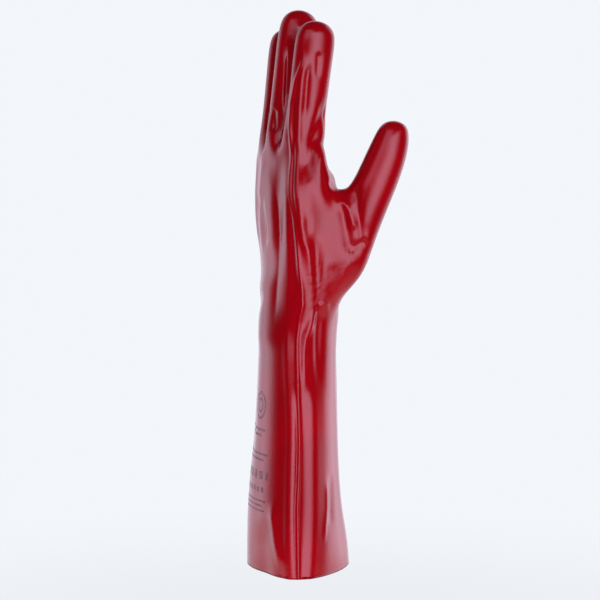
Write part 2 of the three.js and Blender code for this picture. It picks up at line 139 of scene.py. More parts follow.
CUFF_ROWS = (
    CuffRow(up=0.0, wide=1.0, deep=1.0, palmward=0.0, turn=0.0, roundness=1.7, pinch=0.5),
    CuffRow(up=0.08, wide=0.95, deep=0.95, palmward=-0.01, turn=0.0, roundness=1.75, pinch=0.5),
    CuffRow(up=0.27, wide=0.78, deep=0.64, palmward=-0.045, turn=0.0, roundness=1.85, pinch=0.5),
    CuffRow(up=0.5, wide=0.55, deep=0.3, palmward=-0.02, turn=0.0, roundness=1.95, pinch=0.5),
    CuffRow(up=0.74, wide=0.3, deep=0.13, palmward=-0.01, turn=0.1, roundness=2.1, pinch=0.6),
    CuffRow(up=0.9, wide=0.1, deep=0.0, palmward=-0.01, turn=0.25, roundness=2.2, pinch=0.7),
)
PALM_ROWS = (
    PalmRow(0.0, 0.89, 0.89, palmward=0.03, turn=0.4, arch=0.0, web=1.0, roundness=2.2, pinch=0.8),
    PalmRow(0.18, 0.94, 0.94, palmward=0.06, turn=0.5, arch=0.0, web=1.0, roundness=2.3, pinch=1.0),
    PalmRow(0.37, 0.99, 0.95, palmward=0.08, turn=0.67, arch=0.12, web=0.9, roundness=2.4, pinch=1.0),
    PalmRow(0.57, 1.01, 0.88, palmward=0.06, turn=0.84, arch=0.36, web=0.72, roundness=2.5, pinch=1.0),
    PalmRow(0.76, 1.0, 0.71, palmward=0.045, turn=0.95, arch=0.65, web=0.53, roundness=2.7, pinch=1.0),
    PalmRow(0.89, 0.98, 0.555, palmward=0.03, turn=1.0, arch=0.85, web=0.42, roundness=2.9, pinch=1.0),
    PalmRow(1.0, 0.96, 0.49, palmward=0.02, turn=1.0, arch=1.0, web=0.35, roundness=3.0, pinch=1.0),
)
FINGERS = (
    FingerSize(Part.INDEX, length=77, width=1.0, depth=1.0, lean=5, curl=2, splay=5),
    FingerSize(Part.MIDDLE, length=82, width=1.02, depth=1.0, lean=4.2, curl=4.5, splay=1.5),
    FingerSize(Part.RING, length=71, width=0.98, depth=0.96, lean=4.5, curl=4, splay=-2.5),
    FingerSize(Part.LITTLE, length=55, width=0.9, depth=0.84, lean=9, curl=6, splay=-7),
)
FINGER_RINGS = (
    FingerRing(along=0.09, girth=1.01, thick=1.24, saddle=0.75),
    FingerRing(along=0.2, girth=1.0, thick=1.16, saddle=0.35),
    FingerRing(along=0.4, girth=1.0, thick=1.13, saddle=0.0),
    FingerRing(along=0.64, girth=0.99, thick=1.15, saddle=0.0),
    FingerRing(along=0.84, girth=0.98, thick=1.18, saddle=0.0),
    FingerRing(along=0.935, girth=0.9, thick=1.07, saddle=0.0),
    FingerRing(along=0.985, girth=0.62, thick=0.74, saddle=0.0),
)
THUMB_RINGS = (
    ThumbRing(web_out=-0.1, web_up=0.13, outer_out=0.27, outer_up=-1.18, side=0.345, girth=1.2),
    ThumbRing(web_out=-0.03, web_up=0.13, outer_out=0.43, outer_up=-0.72, side=0.35, girth=1.16),
    ThumbRing(web_out=0.05, web_up=0.16, outer_out=0.595, outer_up=-0.31, side=0.355, girth=1.12),
    ThumbRing(web_out=0.155, web_up=0.31, outer_out=0.755, outer_up=0.04, side=0.36, girth=1.08),
    ThumbRing(web_out=0.28, web_up=0.56, outer_out=0.89, outer_up=0.36, side=0.36, girth=1.02),
    ThumbRing(web_out=0.43, web_up=0.85, outer_out=0.995, outer_up=0.7, side=0.36, girth=0.98),
    ThumbRing(web_out=0.55, web_up=1.06, outer_out=1.0, outer_up=0.99, side=0.36, girth=0.76),
)
# The thumb's tip: shares of its reach, of its rise and of the palm's width.
THUMB_TIP = (0.8, 1.11, 0.36)


def unit(rows: np.ndarray) -> np.ndarray:
    """Each row scaled to length 1."""
    return rows / np.maximum(np.linalg.norm(rows, axis=-1, keepdims=True), 1e-12)


def smooth_step(value: np.ndarray, low: float, high: float) -> np.ndarray:
    """0 below low, 1 above high, and smooth between."""
    share = np.clip((value - low) / (high - low), 0, 1)
    return share * share * (3 - 2 * share)


@dataclass
class Cage:
    """A mesh of four-sided faces, wound anticlockwise as seen from outside.

    Args:
        points: one row per point: X, Y, Z and the weight of each Part.
        faces: one row of four point numbers per face.
    """

    points: np.ndarray
    faces: np.ndarray

    def _edges(self) -> tuple[np.ndarray, np.ndarray, np.ndarray]:
        """Finds the edges.

        Returns:
            The two points of each edge, each face's edge numbers, and how many faces each edge has.
        """
        starts = self.faces.ravel()
        ends = np.roll(self.faces, -1, axis=1).ravel()
        pairs = np.sort(np.stack((starts, ends), axis=1), axis=1)
        edges, index, count = np.unique(pairs, axis=0, return_inverse=True, return_counts=True)
        return edges, index.reshape(self.faces.shape), count

    def subdivided(self) -> "Cage":
        """One Catmull-Clark step.

        Returns:
            The finer cage. The old points keep their numbers, and the hem stays on its curve.
        """
        edges, index, count = self._edges()
        middles = self.points[edges].mean(axis=1)
        centres = self.points[self.faces].mean(axis=1)
        beside = np.zeros_like(middles)
        np.add.at(beside, index.ravel(), np.repeat(centres, 4, axis=0))
        inner = (count == 2)[:, None]
        edge_points = np.where(inner, (2 * middles + beside) / 4, middles)

        near_faces = np.zeros_like(self.points)
        np.add.at(near_faces, self.faces.ravel(), np.repeat(centres, 4, axis=0))
        near_edges = np.zeros_like(self.points)
        np.add.at(near_edges, edges[:, 0], middles)
        np.add.at(near_edges, edges[:, 1], middles)
        valence = np.bincount(self.faces.ravel(), minlength=len(self.points))[:, None].astype(float)
        moved = (near_faces + 2 * near_edges) / valence**2 + self.points * (valence - 3) / valence

        hem = edges[count == 1]
        along_hem = np.zeros_like(self.points)
        np.add.at(along_hem, hem[:, 0], middles[count == 1])
        np.add.at(along_hem, hem[:, 1], middles[count == 1])
        on_hem = np.zeros(len(self.points), bool)
        on_hem[hem.ravel()] = True
        moved[on_hem] = 0.5 * self.points[on_hem] + 0.25 * along_hem[on_hem]

        first_centre = len(self.points)
        first_edge = first_centre + len(centres)
        after = index + first_edge
        before = np.roll(index, 1, axis=1) + first_edge
        centre = np.repeat(np.arange(len(centres))[:, None] + first_centre, 4, axis=1)
        faces = np.stack((self.faces, after, centre, before), axis=2).reshape(-1, 4)
        return Cage(np.concatenate((moved, centres, edge_points)), faces)

    def normals(self) -> np.ndarray:
        """Works out the normals.

        Returns:
            The outward normal at each point.
        """
        a, b, c, d = (self.points[self.faces[:, n], :3] for n in range(4))
        facing = np.cross(c - a, d - b)
        sums = np.zeros((len(self.points), 3))
        np.add.at(sums, self.faces.ravel(), np.repeat(facing, 4, axis=0))
        return unit(sums)

    def hem(self) -> list[int]:
        """Follows the open edge.

        Returns:
            Its points, in order, starting at point 0.
        """
        starts = self.faces.ravel().tolist()
        ends = np.roll(self.faces, -1, axis=1).ravel().tolist()
        taken = set(zip(starts, ends))
        following = {a: b for a, b in zip(starts, ends) if (b, a) not in taken}
        loop = [0]
        while following[loop[-1]] != 0:
            loop.append(following[loop[-1]])
        return loop


class CageDraft:
    """A cage while it is being drawn, point by point."""

    def __init__(self) -> None:
        """Starts with no points and no faces."""
        self.points: list[np.ndarray] = []
        self.faces: list[tuple[int, int, int, int]] = []

    def add(self, place: np.ndarray, part: Part) -> int:
        """Adds a point.

        Args:
            place: X, Y and Z.
            part: the part of the glove that it belongs to.

        Returns:
            The point's number.
        """
        row = np.zeros(COLUMNS)
        row[:3] = place
        row[part.value] = 1
        self.points.append(row)
        return len(self.points) - 1

    def place(self, number: int) -> np.ndarray:
        """X, Y and Z of a point."""
        return self.points[number][:3]

    def middle(self, loop: list[int]) -> np.ndarray:
        """The mean place of a loop of points."""
        return np.mean([self.place(n) for n in loop], axis=0)

    def bridge(self, lower: list[int], upper: list[int]) -> None:
        """Joins two loops that run clockwise as seen from the end of the tube.

        Args:
            lower: the points of the loop nearer to the hem.
            upper: the points of the other, as many.
        """
        for n, start in enumerate(lower):
            following = (n + 1) % len(lower)
            self.faces.append((start, upper[n], upper[following], lower[following]))

    def finished(self) -> Cage:
        """The cage as arrays."""
        return Cage(np.array(self.points), np.array(self.faces))


def grid_edge(columns: int, rows: int) -> list[tuple[int, int]]:
    """The edge of a grid of faces, clockwise, from the middle of its first column.

    Args:
        columns: the grid's faces across.
        rows: its faces from back to front.

    Returns:
        The column and row of each point of the edge.
    """
    edge = [(0, row) for row in range(rows, 0, -1)]
    edge += [(column, 0) for column in range(columns)]
    edge += [(columns, row) for row in range(rows)]
    edge += [(column, rows) for column in range(columns, 0, -1)]
    half = rows // 2
    return edge[half:] + edge[:half]


@dataclass(frozen=True)
class GloveForm:
    """The glove's form, in millimetres over the coat.

    Args:
        cuff_length: from the hem to the wrist.
        palm_length: from the wrist to the knuckles.
        mouth_width: the cuff's mouth, across the hand.
        mouth_depth: and through it.
        wrist_width: the wrist, across the hand.
        wrist_depth: and through it.
        palm_width: the palm across the knuckles.
        palm_depth: through the ball of the thumb and the heel.
        finger_width: a finger, across the hand.
        finger_depth: and through it.
        knuckle_arch: how far the middle knuckles stand back from a straight row.
        hand_turn: the palm's turn against the cuff, in degrees, the index side towards the palm.
        web_rise: the webs between the fingers, above the knuckle row.
        thumb_reach: the thumb's tip, palmward of its web.
        thumb_rise: and above its web.
        thumb_width: the thumb, across the hand.
        web_clearance: the thumb's web, palmward of the wrist's palm side.
        web_up: and above the wrist.
        ring_points: the points of one ring of the body.
        side_points: its segments on each narrow side.
        face_points: its segments on the back and on the palm.
        finger_segments: its segments across one finger's back.
        thumb_patch: the faces along each side of the patch that the thumb grows from.
        fingertip_rise: the middle of a fingertip above its last ring, as a share of the length.
        section_samples: the samples by which a section's outline is measured.
    """

    cuff_length: float = 165.5
    palm_length: float = 98.5
    mouth_width: float = 118.0
    mouth_depth: float = 66.0
    wrist_width: float = 82.0
    wrist_depth: float = 49.0
    palm_width: float = 94.0
    palm_depth: float = 56.0
    finger_width: float = 20.0
    finger_depth: float = 21.6
    knuckle_arch: float = 12.0
    hand_turn: float = 14.0
    web_rise: float = 11.0
    thumb_reach: float = 39.4
    thumb_rise: float = 43.3
    thumb_width: float = 23.0
    web_clearance: float = 5.0
    web_up: float = 69.0
    ring_points: int = 30
    side_points: int = 4
    face_points: int = 11
    finger_segments: int = 2
    thumb_patch: int = 4
    fingertip_rise: float = 0.03
    section_samples: int = 360

    def _is_web_segment(self, m: int) -> bool:
        """Whether a segment of a ring lies between two fingers.

        Args:
            m: the place of the segment's first point.

        Returns:
            True on the back and on the palm, in line with a web.
        """
        pitch = self.finger_segments + 1
        on_back = m - self.side_points // 2
        on_palm = m - self.side_points - self.side_points // 2 - self.face_points
        return any(
            0 <= n < self.face_points and n % pitch == self.finger_segments for n in (on_back, on_palm)
        )

    def _is_pinched(self, m: int) -> bool:
        """Whether the segment that starts at place m lies beside one of the two side creases."""
        half = self.ring_points // 2
        return m % half in (0, half - 1)

    def _section(
        self, z: float, centre: float, width: float, depth: float, turn: float, arch: float,
        web: float, roundness: float, pinch: float,
    ) -> list[np.ndarray]:
        """The points of one body section, spaced round it by the weights of its segments.

        Args:
            z: the section's height.
            centre: how far its middle lies palmward.
            width: its size across the hand.
            depth: its size through the hand.
            turn: its turn, in degrees.
            arch: how far its ends stand back from its middle.
            web: the weight of a web's segment.
            roundness: the exponent of its superellipse.
            pinch: the weight of a segment beside a crease.

        Returns:
            The places of the section's points.
        """
        angle = -2 * np.pi * np.arange(self.section_samples + 1) / self.section_samples
        power = 2 / roundness
        across = np.sign(np.cos(angle)) * np.abs(np.cos(angle)) ** power
        through = np.sign(np.sin(angle)) * np.abs(np.sin(angle)) ** power
        outline = np.stack((across * width / 2, through * depth / 2 - arch * (1 - across**2)), axis=1)
        run = np.concatenate(([0], np.cumsum(np.linalg.norm(np.diff(outline, axis=0), axis=1))))
        weights = np.array([
            web if self._is_web_segment(m) else pinch if self._is_pinched(m) else 1.0
            for m in range(self.ring_points)
        ])
        targets = np.concatenate(([0], np.cumsum(weights)[:-1])) / weights.sum() * run[-1]
        u = np.interp(targets, run, outline[:, 0])
        v = np.interp(targets, run, outline[:, 1])
        cosine = math.cos(math.radians(turn))
        sine = math.sin(math.radians(turn))
        return [
            np.array((a * cosine - b * sine, centre + a * sine + b * cosine, z)) for a, b in zip(u, v)
        ]

    def _sections(self) -> list[list[np.ndarray]]:
        """Draws the sections of the cuff and the palm.

        Returns:
            The places of each section's points, from the hem up.
        """
        found = []
        for row in CUFF_ROWS:
            found.append(self._section(
                z=row.up * self.cuff_length,
                centre=row.palmward * self.wrist_depth,
                width=self.wrist_width + (self.mouth_width - self.wrist_width) * row.wide,
                depth=self.wrist_depth + (self.mouth_depth - self.wrist_depth) * row.deep,
                turn=row.turn * self.hand_turn,
                arch=0,
                web=1,
                roundness=row.roundness,
                pinch=row.pinch,
            ))
        for row in PALM_ROWS:
            found.append(self._section(
                z=self.cuff_length + row.up * self.palm_length,
                centre=row.palmward * self.palm_depth,
                width=row.width * self.palm_width,
                depth=row.depth * self.palm_depth,
                turn=row.turn * self.hand_turn,
                arch=row.arch * self.knuckle_arch,
                web=row.web,
                roundness=row.roundness,
                pinch=row.pinch,
            ))
        return found

    def _ring_place(self, column: int, row: int) -> int:
        """The place on a body ring of a point on the edge of the knuckle grid.

        Args:
            column: the point's place across the hand.
            row: its place from the back to the palm.

        Returns:
            The place on the ring.
        """
        if column == 0:
            return (self.ring_points + self.side_points // 2 - row) % self.ring_points
        if row == 0:
            return self.side_points // 2 + column
        if row == self.side_points:
            return self.ring_points - self.side_points // 2 - column
        return self.side_points // 2 + self.face_points + row

    def _swell(self, loop: list[int]) -> float:
        """How much larger a ring is drawn, so that smoothing brings it to its size."""
        return 8 / (6 + 2 * math.cos(2 * math.pi / len(loop)))

    def _close_tip(
        self, draft: CageDraft, loop: list[int], columns: int, rows: int, tip: np.ndarray, part: Part
    ) -> None:
        """Closes a loop with a grid of faces whose inner points bulge to a tip.

        Args:
            draft: the cage to draw in.
            loop: the loop's points.
            columns: the grid's faces across.
            rows: the grid's faces from back to front.
            tip: the place that the bulge reaches.
            part: the part that the new points belong to.
        """
        edge = grid_edge(columns, rows)
        grid = dict(zip(edge, loop))
        middle = draft.middle(loop)
        for column in range(1, columns):
            for row in range(1, rows):
                left, right = (draft.place(grid[(c, row)]) for c in (0, columns))
                back, front = (draft.place(grid[(column, r)]) for r in (0, rows))
                point = left + (right - left) * column / columns + back + (front - back) * row / rows
                off = max(abs(2 * column / columns - 1), abs(2 * row / rows - 1))
                grid[(column, row)] = draft.add(point / 2 + (tip - middle) * (1 - off * off), part)
        for column in range(columns):
            for row in range(rows):
                corners = ((column, row), (column, row + 1), (column + 1, row + 1), (column + 1, row))
                draft.faces.append(tuple(grid[c] for c in corners))

    def _add_finger(self, draft: CageDraft, finger: FingerSize, loop: list[int]) -> None:
        """Grows one finger from its loop on the knuckle grid.

        Args:
            draft: the cage to draw in.
            finger: the finger's sizes.
            loop: the loop's points.
        """
        root = draft.middle(loop)
        turn = math.radians(self.hand_turn)
        across = np.array((math.cos(turn), math.sin(turn), 0))
        palmward = np.array((-across[1], across[0], 0))

        def direction(along: float) -> np.ndarray:
            """The finger's direction.

            Args:
                along: a share of its length.

            Returns:
                The direction there, of length 1.
            """
            bend = math.radians(finger.lean + finger.curl * along)
            axis = np.array((0, 0, math.cos(bend))) + palmward * math.sin(bend)
            return unit(axis + across * math.sin(math.radians(finger.splay)))

        centre = root.copy()
        reached = 0.0
        last = loop
        for ring in FINGER_RINGS:
            centre += direction((reached + ring.along) / 2) * (ring.along - reached) * finger.length
            reached = ring.along
            here = direction(ring.along)
            side = unit(across - here * across.dot(here))
            front = np.cross(here, side)
            reach_across = finger.width * self.finger_width * ring.girth * self._swell(loop) / 2
            reach_through = finger.depth * self.finger_depth * ring.thick * self._swell(loop) / 2
            following = []
            for n, start in enumerate(loop):
                angle = 2 * math.pi * n / len(loop)
                point = centre + side * reach_across * math.cos(angle)
                point = point - front * reach_through * math.sin(angle)
                point = point + here * (draft.place(start)[2] - root[2]) * ring.saddle
                following.append(draft.add(point, finger.part))
            draft.bridge(last, following)
            last = following
        tip = centre + direction(1) * (1 - reached + self.fingertip_rise) * finger.length
        self._close_tip(draft, last, self.finger_segments, self.side_points, tip, finger.part)

    def _add_thumb(self, draft: CageDraft, loop: list[int]) -> None:
        """Grows the thumb from its patch on the body.

        Args:
            draft: the cage to draw in.
            loop: the points round the patch.
        """
        web_out = self.wrist_depth / 2 + self.web_clearance

        def place(out: float, up: float, side: float) -> np.ndarray:
            """A place by its shares of the thumb's reach, the thumb's rise and the palm's width."""
            return np.array((
                side * self.palm_width,
                web_out + out * self.thumb_reach,
                self.cuff_length + self.web_up + up * self.thumb_rise,
            ))

        last = loop
        for ring in THUMB_RINGS:
            web = place(ring.web_out, ring.web_up, ring.side)
            outer = place(ring.outer_out, ring.outer_up, ring.side)
            centre = (web + outer) / 2
            towards_web = (web - centre) * self._swell(loop)
            towards_index = np.array((ring.girth * self.thumb_width * self._swell(loop) / 2, 0, 0))
            following = []
            for n in range(len(loop)):
                angle = 2 * math.pi * n / len(loop)
                point = centre + towards_index * math.cos(angle) + towards_web * math.sin(angle)
                following.append(draft.add(point, Part.THUMB))
            draft.bridge(last, following)
            last = following
        self._close_tip(draft, last, self.thumb_patch, self.thumb_patch, place(*THUMB_TIP), Part.THUMB)

    def cage(self) -> Cage:
        """The coarse cage of the whole glove.

        Returns:
            A cage that is open at the hem. Its first points are the hem's.
        """
        draft = CageDraft()
        first_palm = len(CUFF_ROWS)

        def in_patch(row: int, m: int) -> bool:
            """Whether the face after place m of a row is cut out for the thumb."""
            tall = first_palm <= row < first_palm + self.thumb_patch
            return tall and m >= self.ring_points - self.thumb_patch

        rings = [
            [
                -1 if in_patch(row, m) and in_patch(row - 1, m - 1) else draft.add(point, Part.HAND)
                for m, point in enumerate(section)
            ]
            for row, section in enumerate(self._sections())
        ]
        for row, (lower, upper) in enumerate(zip(rings, rings[1:])):
            for m in range(self.ring_points):
                following = (m + 1) % self.ring_points
                if not in_patch(row, m):
                    draft.faces.append((lower[m], upper[m], upper[following], lower[following]))
        patch = [
            rings[first_palm + self.thumb_patch - row][(self.ring_points - column) % self.ring_points]
            for column, row in grid_edge(self.thumb_patch, self.thumb_patch)
        ]
        self._add_thumb(draft, patch)
        self._add_fingers(draft, rings[-1])
        return draft.finished()

    def _add_fingers(self, draft: CageDraft, top: list[int]) -> None:
        """Draws the webs on the knuckle ring and grows the four fingers between them.

        Args:
            draft: the cage to draw in.
            top: the points of the knuckle ring.
        """
        pitch = self.finger_segments + 1
        rows = self.side_points
        grid = {}
        for column in range(self.face_points + 1):
            for row in (0, rows):
                grid[(column, row)] = top[self._ring_place(column, row)]
        for row in range(1, rows):
            for column in (0, self.face_points):
                grid[(column, row)] = top[self._ring_place(column, row)]
        webs = range(self.finger_segments, self.face_points, pitch)
        for web in webs:
            for column in (web, web + 1):
                back, front = (draft.place(grid[(column, row)]) for row in (0, rows))
                for row in range(1, rows):
                    point = back + (front - back) * row / rows
                    point[2] += self.web_rise * math.sin(math.pi * row / rows)
                    grid[(column, row)] = draft.add(point, Part.HAND)
            for row in range(rows):
                corners = ((web, row), (web, row + 1), (web + 1, row + 1), (web + 1, row))
                draft.faces.append(tuple(grid[c] for c in corners))
        for n, finger in enumerate(FINGERS):
            edge = grid_edge(self.finger_segments, rows)
            self._add_finger(draft, finger, [grid[(n * pitch + column, row)] for column, row in edge])


@dataclass(frozen=True)
class PhotoView:
    """The photograph's view of the glove, which looks along -X at its index side.

    Args:
        elevation: the camera's height above the horizon, in degrees.
        distance: from the camera to the glove's middle, in millimetres.
        aim_y: where it looks, palmward of the cuff's axis.
        aim_z: and above the hem.
        scale: millimetres in one pixel at the glove's middle.
    """

    elevation: float = 4.5
    distance: float = 1600.0
    aim_y: float = 1.3
    aim_z: float = 168.3
    scale: float = 0.6357

    def axes(self) -> tuple[np.ndarray, np.ndarray, np.ndarray]:
        """The view's own directions.

        Returns:
            Back to the camera, to the picture's right, and up.
        """
        e = math.radians(self.elevation)
        back = np.array((math.cos(e), 0, math.sin(e)))
        right = np.array((0, 1, 0))
        return back, right, np.cross(back, right)

    def aim(self) -> np.ndarray:
        """The place that the camera looks at."""
        return np.array((0, self.aim_y, self.aim_z))

    def pixels(self, places: np.ndarray) -> np.ndarray:
        """Where places are seen.

        Args:
            places: X, Y and Z of each place, in millimetres.

        Returns:
            The pixels of the picture, from its left and from its top.
        """
        back, right, up = self.axes()
        offset = places - self.aim()
        nearness = self.distance / (self.distance - offset @ back) / self.scale
        half = PICTURE_SIDE / 2
        return np.stack((half + offset @ right * nearness, half - offset @ up * nearness), axis=1)

    def towards(self, places: np.ndarray) -> np.ndarray:
        """The direction from each place to the camera."""
        return unit(self.aim() + self.axes()[0] * self.distance - places)


class Side(Enum):
    """The side that a fold is drawn from: the photograph's view, or flat from one of three sides."""

    PHOTO = 0
    BACK = 1
    PALM = 2
    LITTLE = 3


class Profile(Enum):
    """How a fold falls off to its sides: rounded, or like a crease."""

    ROUND = "round"
    SHARP = "sharp"


# How far the top of a sharp fold is rounded off, as a share of its spread.
SOFTNESS = 0.22
# A fold fades in between these cosines as the surface turns towards the side that it is drawn from.
PHOTO_FACING = (-0.2, 0.25)
FLAT_FACING = (0.0, 0.4)

HAND = (Part.HAND,)
INDEX = (Part.INDEX,)
MIDDLE = (Part.MIDDLE,)
INDEX_SIDE = (Part.HAND, Part.INDEX)
THUMB_SIDE = (Part.HAND, Part.THUMB)


@dataclass(frozen=True)
class Fold:
    """A soft fold of the coat, drawn as a stroke.

    Args:
        name: what it is.
        parts: the parts that it lies on.
        path: its places, in the photograph's pixels or in millimetres.
        rise: its height in millimetres, negative for a hollow.
        spread: how far it reaches to each side, in the path's units.
        fade_in: the share of its length over which it grows.
        fade_out: and over which it dies away.
        profile: how it falls off to its sides.
        side: the side that it is drawn from.
    """

    name: str
    parts: tuple[Part, ...]
    path: tuple[tuple[float, float], ...]
    rise: float
    spread: float
    fade_in: float = 0.25
    fade_out: float = 0.25
    profile: Profile = Profile.ROUND
    side: Side = Side.PHOTO

    def height(self, seen: np.ndarray) -> np.ndarray:
        """The fold's height at places of its drawing.

        Args:
            seen: the places, one row each.

        Returns:
            The height at each place, in millimetres.
        """
        path = np.array(self.path, float)
        steps = np.linalg.norm(np.diff(path, axis=0), axis=1)
        run = np.concatenate(([0], np.cumsum(steps)))
        nearest = np.full(len(seen), np.inf)
        reached = np.zeros(len(seen))
        for n, step in enumerate(steps):
            direction = (path[n + 1] - path[n]) / step
            along = np.clip((seen - path[n]) @ direction, 0, step)
            away = np.linalg.norm(seen - path[n] - along[:, None] * direction, axis=1)
            closer = away < nearest
            nearest[closer] = away[closer]
            reached[closer] = (run[n] + along)[closer]
        share = reached / run[-1]
        ends = np.ones(len(seen))
        if self.fade_in:
            ends *= smooth_step(share, 0, self.fade_in)
        if self.fade_out:
            ends *= smooth_step(1 - share, 0, self.fade_out)
        away = nearest / self.spread
        fall = away**2 if self.profile is Profile.ROUND else np.hypot(away, SOFTNESS) - SOFTNESS
        return self.rise * np.exp(-fall) * ends


